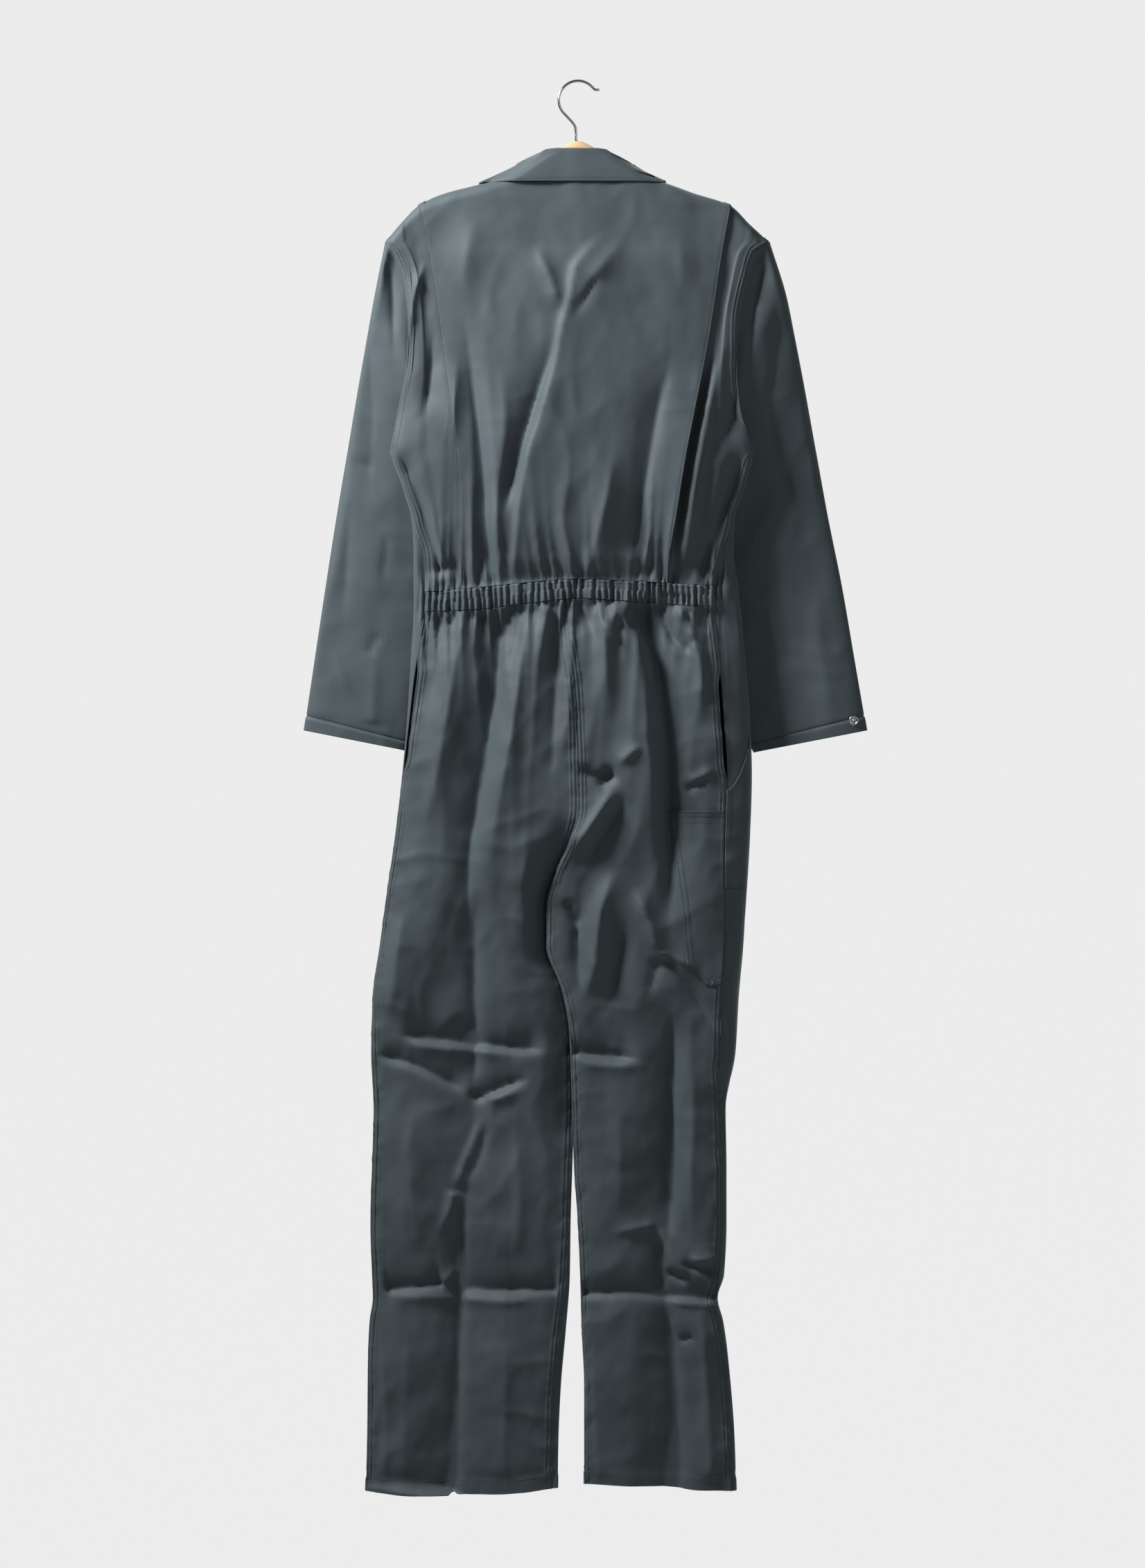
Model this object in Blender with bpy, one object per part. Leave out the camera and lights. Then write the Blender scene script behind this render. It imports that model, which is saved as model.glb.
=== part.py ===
"""Boiler suit hung flat by its shoulders from a wooden hanger, built seam by seam.

Metres, +Z up. The origin is the inside of the hook's crown, where a rail carries it.
The suit's back faces -Y and its front +Y, so +X is towards the wearer's right arm.

Every cloth piece is a thin wall. Its outer and inner skins are the same form, read once as it
is and once drawn in by the cloth's thickness, so a wall never crosses itself. The form is a
flattened tube: BODY gives its sides and depths down the suit, and INNER the centre line, which
parts into two legs at the crotch. Seams are lines on that form.
"""

import math

import bmesh
import bpy
import numpy as np
from mathutils import Vector

MM = 0.001
CLOTH = 1.5 * MM
GAP = 0.3 * MM  # between two pieces at a seam
FLATNESS = 0.7  # 1 is a plain ellipse; less is flatter faces and tighter sides

SHOULDER_LEVEL = -197 * MM
CROTCH_TOP, CROTCH_LOW = -900 * MM, -1010 * MM
SHOULDER_ROUND = 15 * MM  # how far below the shoulder line the cloth reaches its full depth
PLEAT_UNDERLAP = 34 * MM
PLEAT_DROP = 1.6 * MM  # spare depth under the centre panel at the pleat
NECK_HALF = 96 * MM


# --- Curves through short tables ------------------------------------------------------------


def slopes(at, values):
    """Slopes of a curve through the points that never swings past them."""
    steps, rises = np.diff(at), np.diff(values)
    secants = rises / steps
    found = np.zeros(len(at))
    found[0], found[-1] = secants[0], secants[-1]
    for i in range(1, len(at) - 1):
        before, after = secants[i - 1], secants[i]
        if before * after > 0:
            found[i] = 2 * before * after / (before + after)
    return found


class Curves:
    """A short table. The first column is read along, and the others are smooth curves."""

    def __init__(self, columns, *rows):
        names = columns.split()
        rows = sorted(rows)
        self.along = np.array([row[0] for row in rows]) * MM
        self.values = {}
        for i, name in enumerate(names[1:], start=1):
            values = np.array([row[i] for row in rows]) * MM
            self.values[name] = (values, slopes(self.along, values))

    def at(self, name, where):
        values, tangent = self.values[name]
        where = min(max(where, self.along[0]), self.along[-1])
        i = min(int(np.searchsorted(self.along, where, "right")) - 1, len(values) - 2)
        step = self.along[i + 1] - self.along[i]
        t = (where - self.along[i]) / step
        return float(
            values[i] * (1 + 2 * t) * (1 - t) ** 2
            + values[i + 1] * t * t * (3 - 2 * t)
            + step * t * (1 - t) * (tangent[i] * (1 - t) - tangent[i + 1] * t)
        )


# Sides of the body and its depth behind and in front, in millimetres, down the suit.
BODY = Curves(
    "level left right rear front",
    (-100, -246, 247, 20, 15),
    (-197, -246, 247, 22, 15),
    (-215, -236, 232, 24, 14),
    (-250, -224, 219, 26, 13),
    (-330, -217, 206, 31, 14),
    (-400, -220, 208, 35, 15),
    (-450, -229, 216, 38, 15),
    (-495, -215, 206, 39, 15),
    (-540, -203, 193, 38, 15),
    (-580, -201, 192, 33, 15),
    (-615, -201, 197, 25, 14),
    (-650, -201, 201, 25, 14),
    (-700, -204, 205, 33, 15),
    (-770, -208, 211, 38, 16),
    (-850, -215, 214, 39, 17),
    (-920, -223, 212, 37, 17),
    (-990, -233, 208, 33, 16),
    (-1055, -242, 204, 30, 15),
    (-1123, -251, 198, 28, 15),
    (-1190, -253, 194, 27, 15),
    (-1260, -250, 182, 26, 14),
    (-1330, -252, 183, 25, 14),
    (-1400, -254, 183, 24, 13),
    (-1463, -253, 179, 23, 13),
    (-1491, -252, 172, 21, 12),
    (-1535, -256, 182, 23, 13),
    (-1600, -257, 189, 22, 13),
    (-1665, -258, 193, 20, 12),
    (-1730, -260, 195, 19, 12),
)
# The centre line, and below the crotch the inner side of each leg. The right thigh bulges
# across in front of the left one.
INNER = Curves(
    "level left right",
    (-100, -3, -3),
    (-400, -7, -7),
    (-650, -14, -14),
    (-750, -4, -4),
    (-838, 0, 0),
    (-890, 1, 1),
    (-930, -9, -9),
    (-975, -28, -28),
    (-1010, -37, -37),
    (-1060, -37, -37),
    (-1110, -19, -19),
    (-1165, -9, -9),
    (-1250, -6, -5),
    (-1330, -6, -4),
    (-1395, -8, 0),
    (-1463, -9, 3),
    (-1531, -14, 5),
    (-1600, -20, 8),
    (-1665, -23, 8),
    (-1730, -24, 8),
)
# Lines across the back: the edges of the centre panel, which are the pleats' folds.
PLEATS = Curves(
    "level left right",
    (-151, -195, 188),
    (-211, -184, 177),
    (-271, -174, 168),
    (-331, -166, 158),
    (-400, -157, 144),
    (-462, -149, 132),
    (-530, -146, 121),
    (-580, -145, 113),
    (-640, -141, 108),
)
# The shoulder and neck lines, read across the suit.
SHOULDER = Curves(
    "across level",
    (-236, -197),
    (-219, -176),
    (-194, -151),
    (-164, -137),
    (-126, -127),
    (-96, -119),
    (0, -70),
    (96, -119),
    (126, -130),
    (142, -136),
    (187, -151),
    (212, -175),
    (237, -198),
)
BACK_NECK = Curves("across level", (-96, -119), (-60, -113), (0, -112), (60, -113), (96, -119))
FRONT_NECK = Curves(
    "across level", (-96, -119), (-88, -141), (-60, -170), (0, -186), (60, -170), (88, -141), (96, -119)
)
# The waistband's two seams and the hems, read across the suit.
BAND = Curves(
    "across top bottom",
    (-201, -627, -651),
    (-120, -621, -648),
    (-60, -615, -641),
    (0, -611, -635),
    (60, -613, -638),
    (120, -616, -642),
    (201, -620, -647),
)
HEM = Curves(
    "across level", (-262, -1727), (-200, -1732), (-100, -1731), (-24, -1724), (8, -1720), (120, -1724), (196, -1727)
)
# How far the side seams lie on the back, in from the sides.
SIDE_SEAM = Curves(
    "level left right",
    (-400, 1, 1),
    (-450, 3, 3),
    (-495, 2, 2),
    (-540, 4, 3),
    (-580, 14, 14),
    (-615, 16, 28),
    (-650, 13, 35),
    (-700, 9, 33),
    (-760, 4, 33),
    (-860, 1, 31),
    (-920, 1, 31),
    (-995, 1, 27),
    (-1063, 1, 23),
    (-1131, 1, 21),
    (-1199, 1, 19),
    (-1259, 1, 7),
    (-1730, 1, 6),
)
# How far the inseams lie on the back, in from the inner side of each leg.
INSEAM = Curves(
    "level left right", (-880, 0, 0), (-1050, 1, 1), (-1400, 3, 1), (-1560, 8, 1), (-1730, 7, 1)
)
# The side seams are left open for a hand to pass through to clothes worn below.
SLITS = {"left": (-860 * MM, -696 * MM), "right": (-860 * MM, -716 * MM)}
SLIT_WIDTH = 3.5 * MM
# The largest folds of the back: the line of each, how wide and how high it stands (+) or sinks (-).
FOLDS = (
    # top x, top z, low x, low z, width, height
    (20, -225, -80, -560, 28, 5),
    (60, -440, 30, -590, 30, -7),
    (-112, -300, -96, -600, 28, -7),
    (-95, -655, -122, -1100, 30, -12),
    (-165, -655, -180, -1120, 32, 5),
    (-40, -660, -55, -900, 28, 6),
    (68, -660, 84, -850, 28, -9),
    (20, -690, 30, -900, 28, 5),
    (116, -1150, 116, -1440, 30, -7),
    (-125, -1160, -152, -1720, 34, -5),
)
FOLD_FADE = 45 * MM
# Rows that neighbouring pieces share, so that their seams stay parallel: shares of the way from
# the shoulder to the underarm, then levels in millimetres down to the waistband and the hem.
UPPER_ROWS = (0, 0.012, 0.045, 0.12, 0.28, 0.47, 0.67, 0.85, 1)
CHEST_ROWS = (-466, -480, -515, -550, -585)
LOWER_ROWS = (
    *(-665, -710, -760, -820, -880, -925, -965, -1005, -1045),
    *(-1100, -1165, -1250, -1340, -1420, -1491, -1540, -1640),
)
FRONT_COLUMNS = (0, 0.04, 0.1, 0.21, 0.32, 0.44, 0.6, 0.64, 0.72, 0.84, 1)
COLLAR_PLACES = (0, 100, 200, 300, 380, 440, 470, 500, 520, 540, 565, 620, 700, 800, 900, 1000)


def smoothstep(t):
    t = min(max(t, 0.0), 1.0)
    return t * t * (3 - 2 * t)


def lerp(a, b, t):
    return a + (b - a) * t


def fold_height(x, z):
    """How far the back's largest folds lift the cloth here."""
    lift = 0.0
    for top_x, top_z, low_x, low_z, width, height in FOLDS:
        start, end = top_z * MM, low_z * MM
        inside = smoothstep((start + FOLD_FADE - z) / FOLD_FADE) * smoothstep((z - end + FOLD_FADE) / FOLD_FADE)
        if inside > 0:
            line = lerp(top_x, low_x, (start - z) / (start - end)) * MM
            lift += height * MM * inside * math.exp(-(((x - line) / (width * MM)) ** 2))
    return lift


UNDERARM = -450 * MM
BAND_LEVEL, HEM_LEVEL = -641, -1727  # about where the waistband's lower seam and the hems are
SLEEVE_TOP = -197 * MM
UNDERLAY_STEP = 2.4 * MM  # from the side panel down to the underlay's lower layer
ARMHOLE_SPARE = 0.9 * MM
GATHER = 1.0 * MM
BAND_SPARE = 0.4 * MM
PLEAT_OPEN = 3.0 * MM  # how far the right pleat's edge lifts where it gapes
PLEAT_SINK = 5.0 * MM  # and how far the side panel sinks there
SLEEVE_BLEND = 170 * MM  # over this length the round of the armhole becomes the flat tube
PATCH_GAP = 1.1 * MM  # patches lie this far off the panel's form, clear of its facets
COLLAR_ROLL = 2.2 * MM
COLLAR_LIFT = 1.8 * MM
COLLAR_RIGHT = 0.9  # the fall hangs a little to the left
PLACKET_HALF = 24 * MM
HANGER_THICK = 11 * MM
HANGER_DEEP = 30 * MM
HANGER_HALF = 190 * MM
HANGER_SPARE = 1.7 * MM
HOOK_WIRE = 3.4 * MM
HOOK_INSIDE = 22 * MM
SNAP_PLACE = Vector((340, 19.2, -783)) * MM

# The armhole seams, the same on the back and the front.
ARMHOLE = Curves(
    "level left right",
    (-197, -236, 237),
    (-212, -222, 216),
    (-240, -211, 207),
    (-298, -207, 196),
    (-350, -209, 195),
    (-400, -219, 199),
    (-453, -229, 217),
)
# Each sleeve, by the distance from the armhole: its outer and inner edges, its half depth and
# how far behind the body its middle lies.
SLEEVE = Curves(
    "along left_outer_x left_outer_z left_inner_x left_inner_z right_outer_x right_outer_z "
    "right_inner_x right_inner_z depth middle",
    (0, -236, -197, -229, -453, 237, -197, 217, -453, 14, 0),
    (60, -249, -260, -228, -478, 257, -260, 226, -478, 15, 5),
    (110, -258, -307, -222, -500, 267, -307, 222, -502, 15, 14),
    (180, -271, -377, -205, -540, 281, -377, 203, -540, 15, 27),
    (260, -284, -452, -178, -590, 295, -452, 178, -590, 15, 33),
    (340, -297, -529, -165, -645, 309, -529, 167, -645, 14, 33),
    (430, -311, -619, -165, -710, 327, -619, 168, -710, 13, 32),
    (520, -325, -713, -184, -775, 343, -713, 190, -775, 12, 30),
    (606, -337, -795, -211, -820, 357, -795, 218, -822, 11, 28),
)
# Half the collar by the place round the neck: 0 is the centre back, 500 the shoulder and 1000
# the centre front.
COLLAR = Curves(
    "place neck_x roll_x roll_y roll_z edge_x edge_z",
    (0, 0, 0, -21, -79, 0, -124),
    (130, 26, 22, -21, -80, 34, -124),
    (260, 56, 44, -18, -86, 72, -124),
    (390, 82, 62, -10, -95, 102, -124),
    (480, 94, 74, -3, -101, 118, -123.5),
    (520, 94, 76, 3, -104, 121, -127),
    (600, 88, 74, 10, -113, 124, -146),
    (700, 80, 66, 15, -128, 122, -172),
    (800, 62, 50, 17, -144, 112, -198),
    (900, 38, 32, 18, -158, 96, -222),
    (1000, 14, 16, 18, -168, 76, -242),
)
TOOL_POCKET = Curves("level left", (-1110, 158), (-1101, 152), (-1083, 135), (-1008, 127), (-894, 110.5))
HANGER_ARCH = Curves(
    "across level",
    (-98, -125),
    (-80, -118),
    (-58, -107),
    (-22, -81),
    (0, -72),
    (22, -81),
    (58, -107),
    (80, -118),
    (98, -125),
)

MATERIALS = {}


# --- The form -------------------------------------------------------------------------------


def legs_apart(z):
    """0 on the body and 1 on the two separate legs."""
    return smoothstep((CROTCH_TOP - z) / (CROTCH_TOP - CROTCH_LOW))


def shoulder_cap(x, z, inset):
    """The share of the full depth that the cloth has below the shoulder line."""
    below = max(0.0, SHOULDER.at("level", x) - inset - z)
    return math.sqrt(1 - (1 - min(below / SHOULDER_ROUND, 1)) ** 2)


def profile(x, low, high):
    """The depth, as a share, across a flattened tube from low to high."""
    across = (2 * x - low - high) / (high - low)
    return max(0.0, 1 - across * across) ** (FLATNESS / 2)


def skin_y(face, x, z, inset=0.0, side=None):
    """Y of the back (face -1) or front (face 1), inset by that much, on the body or a leg."""
    left, right = BODY.at("left", z) + inset, BODY.at("right", z) - inset
    share = profile(min(max(x, left), right), left, right)
    apart = legs_apart(z)
    if side and apart > 0:
        if side == "left":
            low, high = left, INNER.at("left", z) - inset
        else:
            low, high = INNER.at("right", z) + inset, right
        share = lerp(share, profile(min(max(x, low), high), low, high), apart)
    depth = BODY.at("rear", z) + fold_height(x, z) if face < 0 else BODY.at("front", z)
    y = (depth - inset) * share * shoulder_cap(x, z, inset)
    return face * max(y, GAP / 2)


def way_out(side):
    return -1 if side == "left" else 1


def half_ring(side, z, face, q, inset=0.0):
    """A point round one half of the body, or round one leg.

    q is 0 at the side and 1 on the centre line or inseam, on the back (face -1) or the front
    (face 1). A q past either end runs on round onto the other face.
    """
    if q < 0:
        face, q = -face, -q
    if q > 1:
        face, q = -face, 2 - q
    way = way_out(side)
    apart = legs_apart(z)
    outer = BODY.at(side, z) - way * inset
    inner = INNER.at(side, z) + way * (GAP / 2 + inset * apart)
    share = lerp(1 - math.cos(math.pi * q / 2), (1 - math.cos(math.pi * q)) / 2, apart)
    x = lerp(outer, inner, share)
    return Vector((x, skin_y(face, x, z, inset, side), z))


def seam_places(side, z):
    """The q of the side seam and the inseam, both on the back, and the q of a 0.15 mm step there."""
    places = np.linspace(0, 1, 49)
    ring = [half_ring(side, z, -1, q) for q in places]
    across = np.array([abs(p.x - ring[0].x) for p in ring])
    run = np.concatenate([[0], np.cumsum([(b - a).length for a, b in zip(ring, ring[1:])])])
    found = []
    for inward in (SIDE_SEAM.at(side, z), across[-1] - INSEAM.at(side, z)):
        q = float(np.interp(inward, across, places))
        at = float(np.interp(q, places, run))
        found.append([float(np.interp(at + way * GAP / 2, run, places)) for way in (-1, 1)])
    return found


# --- Walls ----------------------------------------------------------------------------------


def spread(count, start=0.0, end=1.0):
    return [lerp(start, end, i / count) for i in range(count + 1)]


def closed_mesh(name, points, faces, material, sharp=50):
    shape = bmesh.new()
    verts = [shape.verts.new(p) for p in points]
    for face in faces:
        shape.faces.new([verts[i] for i in face])
    bmesh.ops.recalc_face_normals(shape, faces=shape.faces[:])
    mesh = bpy.data.meshes.new(name)
    shape.to_mesh(mesh)
    shape.free()
    mesh.shade_smooth()
    mesh.set_sharp_from_angle(angle=math.radians(sharp))
    mesh.materials.append(MATERIALS[material])
    found = bpy.data.objects.new(name, mesh)
    bpy.context.scene.collection.objects.link(found)
    return found


def wall(name, outer, inner, material="cloth", ring=False):
    """A closed wall between two grids of points, each a list of rows. A ring joins its ends."""
    rows, columns = len(outer), len(outer[0])
    points = [p for grid in (outer, inner) for row in grid for p in row]
    half = rows * columns

    def at(skin, j, i):
        return skin * half + j * columns + i % columns

    faces = []
    for j in range(rows - 1):
        for i in range(columns if ring else columns - 1):
            for skin in (0, 1):
                faces.append([at(skin, j, i), at(skin, j, i + 1), at(skin, j + 1, i + 1), at(skin, j + 1, i)])
    for j in (0, rows - 1):
        for i in range(columns if ring else columns - 1):
            faces.append([at(0, j, i), at(0, j, i + 1), at(1, j, i + 1), at(1, j, i)])
    if not ring:
        for i in (0, columns - 1):
            for j in range(rows - 1):
                faces.append([at(0, j, i), at(0, j + 1, i), at(1, j + 1, i), at(1, j, i)])
    return closed_mesh(name, points, faces, material)


def panel(name, columns, rows, point, lift=0.0):
    """A wall whose skins are point(u, v, inset), lifted off the form by that much."""
    grids = [[[point(u, v, inset) for u in columns] for v in rows] for inset in (-lift, CLOTH - lift)]
    return wall(name, *grids)


# --- Back of the body -----------------------------------------------------------------------


def back_top(x):
    """The top of the back's cloth: the neck line, or the shoulder line past it."""
    return BACK_NECK.at("level", x) if abs(x) < NECK_HALF else SHOULDER.at("level", x)


def front_top(x):
    return FRONT_NECK.at("level", x) if abs(x) < NECK_HALF else SHOULDER.at("level", x)


def armhole_edge(side, z, spare=ARMHOLE_SPARE):
    """The edge of the body at the armhole, a seam's gap in from the sleeve."""
    return ARMHOLE.at(side, z) - way_out(side) * spare


SEAMS_FOUND = {}


def seams_at(side, z):
    key = (side, round(z, 6))
    if key not in SEAMS_FOUND:
        SEAMS_FOUND[key] = seam_places(side, z)
    return SEAMS_FOUND[key]


def outer_edge(side, z, inset=0.0):
    """The outer edge of the back: the armhole, then the side seam."""
    if z > UNDERARM:
        return armhole_edge(side, z)
    return half_ring(side, z, -1, seams_at(side, z)[0][1], inset).x


def upper_place(x_of, share, top_of, inset, short=0.0):
    """Where a line down the body comes, at a share of the way from its top to the underarm."""
    z = SHOULDER_LEVEL
    for _ in range(30):
        x = x_of(z)
        top = top_of(x) - (inset if abs(x) >= NECK_HALF else 0.0) - short
        z = (z + lerp(top, UNDERARM, share)) / 2
    return x, z


def back_places(x_of, inset, short=0.0):
    """The places down one line of the back, from its top, or short of it, to the waistband."""
    places = [upper_place(x_of, share, back_top, inset, short) for share in UPPER_ROWS]
    places += [(x_of(z * MM), z * MM) for z in CHEST_ROWS]
    z = -620 * MM
    for _ in range(3):
        z = BAND.at("top", x_of(z)) + GAP / 2
    return places + [(x_of(z), z)]


def rows_of(lines):
    """Turns lines that run down a panel into rows that run across it."""
    return [list(row) for row in zip(*lines)]


def make_back_centre():
    skins = []
    for inset in (0.0, CLOTH):
        lines = []
        for u in spread(14):
            def across(z, u=u):
                return lerp(PLEATS.at("left", z), PLEATS.at("right", z), u)

            lift = PLEAT_OPEN * smoothstep((u - 0.8) / 0.2)
            lines.append([Vector((x, skin_y(-1, x, z, inset) - lift * pleat_gape(z), z))
                          for x, z in back_places(across, inset)])
        skins.append(rows_of(lines))
    wall("back_centre", *skins)


def pleat_gape(z):
    """How far open the right pleat stands, from 0 to 1."""
    return smoothstep((-330 * MM - z) / (70 * MM)) * smoothstep((z + 610 * MM) / (60 * MM))


def make_back_side(side):
    """The side panel of the back, with its underlay: in under the centre panel and out again."""
    way = way_out(side)
    skins = []
    for thick in (0.0, CLOTH):
        lines = []
        for u in spread(6):
            def across(z, u=u):
                return lerp(outer_edge(side, z, thick), PLEATS.at(side, z) + way * GAP, u)

            lines.append([Vector((x, min(skin_y(-1, x, z, thick) + pleat_sink(side, x, z, u), -GAP / 2), z))
                          for x, z in back_places(across, thick, 4 * MM * smoothstep((u - 0.7) / 0.3))])
        # The underlay's two layers lie under the centre panel. Its turn wraps the outer skin
        # inside the inner one, a cloth's thickness apart. The lower layer is down at its full
        # depth before the upper one ends over it.
        reach = PLEAT_UNDERLAP - (0.0 if thick else CLOTH)
        folds = [(PLEAT_UNDERLAP * 0.12, True), (reach, True), (reach, False), (PLEAT_UNDERLAP * 0.25, False)]
        for inward, deep in folds:
            def across(z, inward=inward):
                return PLEATS.at(side, z) - way * inward

            line = []
            for x, z in back_places(across, thick, 15 * MM):
                under = pleat_sink(side, x, z, 1.0) + UNDERLAY_STEP
                depth = under + thick if deep else under - GAP - thick
                line.append(Vector((x, skin_y(-1, x, z, CLOTH / 2) + depth, z)))
            lines.append(line)
        skins.append(rows_of(lines))
    wall(f"back_side_{side}", *skins)


def pleat_sink(side, x, z, u):
    """How far the side panel lies below the centre panel's skin, from the seam to the pleat."""
    near = smoothstep((u - 0.15) / 0.75) * smoothstep((SHOULDER.at("level", x) - z) / (5 * MM))
    sink = (CLOTH + GAP + PLEAT_DROP) * near
    if side == "right":
        sink += PLEAT_SINK * pleat_gape(z) * smoothstep((u - 0.3) / 0.7)
    return sink


def make_waistband():
    """The casing. Its gathers are even ripples here, two facets to each slope."""
    ripples = 14

    def point(u, v, inset):
        z = -635 * MM
        for _ in range(3):
            ends = [outer_edge(side, z, inset) - way_out(side) * BAND_SPARE for side in ("left", "right")]
            x = lerp(*ends, u)
            z = lerp(BAND.at("top", x) - GAP / 2, BAND.at("bottom", x) + GAP / 2, v)
        fade = smoothstep(u * 12) * smoothstep((1 - u) * 12)
        return Vector((x, skin_y(-1, x, z, inset) - GATHER * math.sin(2 * math.pi * ripples * u) * fade, z))

    panel("waistband_back", spread(ripples * 4), spread(1), point)


# --- Legs and fronts ------------------------------------------------------------------------


def slit_inward(side, z):
    """How far the back's side edge stands in from the seam at the hand slit."""
    low, high = SLITS[side]
    return SLIT_WIDTH * smoothstep((z - low) / (25 * MM)) * smoothstep((high - z) / (25 * MM))


def make_leg_back(side):
    """The back of one leg, from the waistband down. Its edges are the side seam and the inseam."""
    skins = []
    for inset in (0.0, CLOTH):
        rows = []
        for level in (BAND_LEVEL, *LOWER_ROWS, HEM_LEVEL):
            row = []
            for u in spread(8):
                z = level * MM
                for _ in range(3):
                    (_, start), (end, _) = seams_at(side, z)
                    q = lerp(start, end, u)
                    x = half_ring(side, z, -1, q).x
                    if level == BAND_LEVEL:
                        z = BAND.at("bottom", x) - GAP / 2
                    elif level == HEM_LEVEL:
                        z = HEM.at("level", x)
                spot = half_ring(side, z, -1, q, inset)
                spot.x -= way_out(side) * slit_inward(side, z) * (1 - smoothstep(u * 5))
                row.append(spot)
            rows.append(row)
        skins.append(rows)
    wall(f"leg_back_{side}", *skins)


def make_front(side):
    """One front, shoulder to hem. It runs round the side to the side seam on the back."""
    def upper(u, share, inset):
        def across(z):
            edge = armhole_edge(side, max(z, UNDERARM))
            return lerp(edge, INNER.at(side, z) + way_out(side) * GAP / 2, u)

        x, z = upper_place(across, share, front_top, inset)
        return Vector((x, skin_y(1, x, z, inset), z))

    def lower(u, level, inset):
        z = level * MM
        for _ in range(3 if level == HEM_LEVEL else 1):
            (start, _), (_, end) = seams_at(side, z)
            q = lerp(-start, lerp(1, 2 - end, legs_apart(z)), u)
            if level == HEM_LEVEL:
                z = HEM.at("level", half_ring(side, z, 1, q).x)
        return half_ring(side, z, 1, q, inset)

    levels = (*CHEST_ROWS, -620, -641, *LOWER_ROWS, HEM_LEVEL)
    grids = []
    for inset in (0.0, CLOTH):
        rows = [[upper(u, share, inset) for u in FRONT_COLUMNS] for share in UPPER_ROWS]
        rows += [[lower(u, level, inset) for u in FRONT_COLUMNS] for level in levels]
        grids.append(rows)
    wall(f"front_{side}", *grids)


# --- Sleeves --------------------------------------------------------------------------------


def make_sleeve(side):
    """A tube from the armhole to the cuff. Its inner edge lies tucked behind the body."""
    last = len(UPPER_ROWS) - 1

    def armhole(face, i, inset):
        def across(z):
            return ARMHOLE.at(side, z)

        x, z = upper_place(across, UPPER_ROWS[i], back_top, 0)
        if i in (0, last):
            z += inset if i else -inset
            return Vector((x, 0, z))
        return Vector((x, skin_y(face, x, z, inset), z))

    def tube(s, face, i, inset):
        share = (1 - math.cos(math.pi * i / last)) / 2
        outer, inner = (
            Vector((SLEEVE.at(f"{side}_{edge}_x", s), 0, SLEEVE.at(f"{side}_{edge}_z", s)))
            for edge in ("outer", "inner")
        )
        across = (inner - outer).normalized()
        spot = (outer + across * inset).lerp(inner - across * inset, share)
        spot.y = SLEEVE.at("middle", s) + face * (SLEEVE.at("depth", s) - inset) * profile(share, 0, 1)
        return spot

    def point(face, i, s, inset):
        blend = 1 - smoothstep(s / SLEEVE_BLEND)
        return tube(s, face, i, inset) + (armhole(face, i, inset) - tube(0, face, i, inset)) * blend

    places = [(-1, i) for i in range(last + 1)] + [(1, i) for i in range(last - 1, 0, -1)]
    levels = [0, 8, 22, 44, 72, 106, 144, 186, 240, 310, 390, 470, 545, 606]
    grids = [[[point(face, i, s * MM, inset) for face, i in places] for s in levels] for inset in (0.0, CLOTH)]
    wall(f"sleeve_{side}", *grids, ring=True)


# --- Collar, placket and pockets ------------------------------------------------------------


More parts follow.
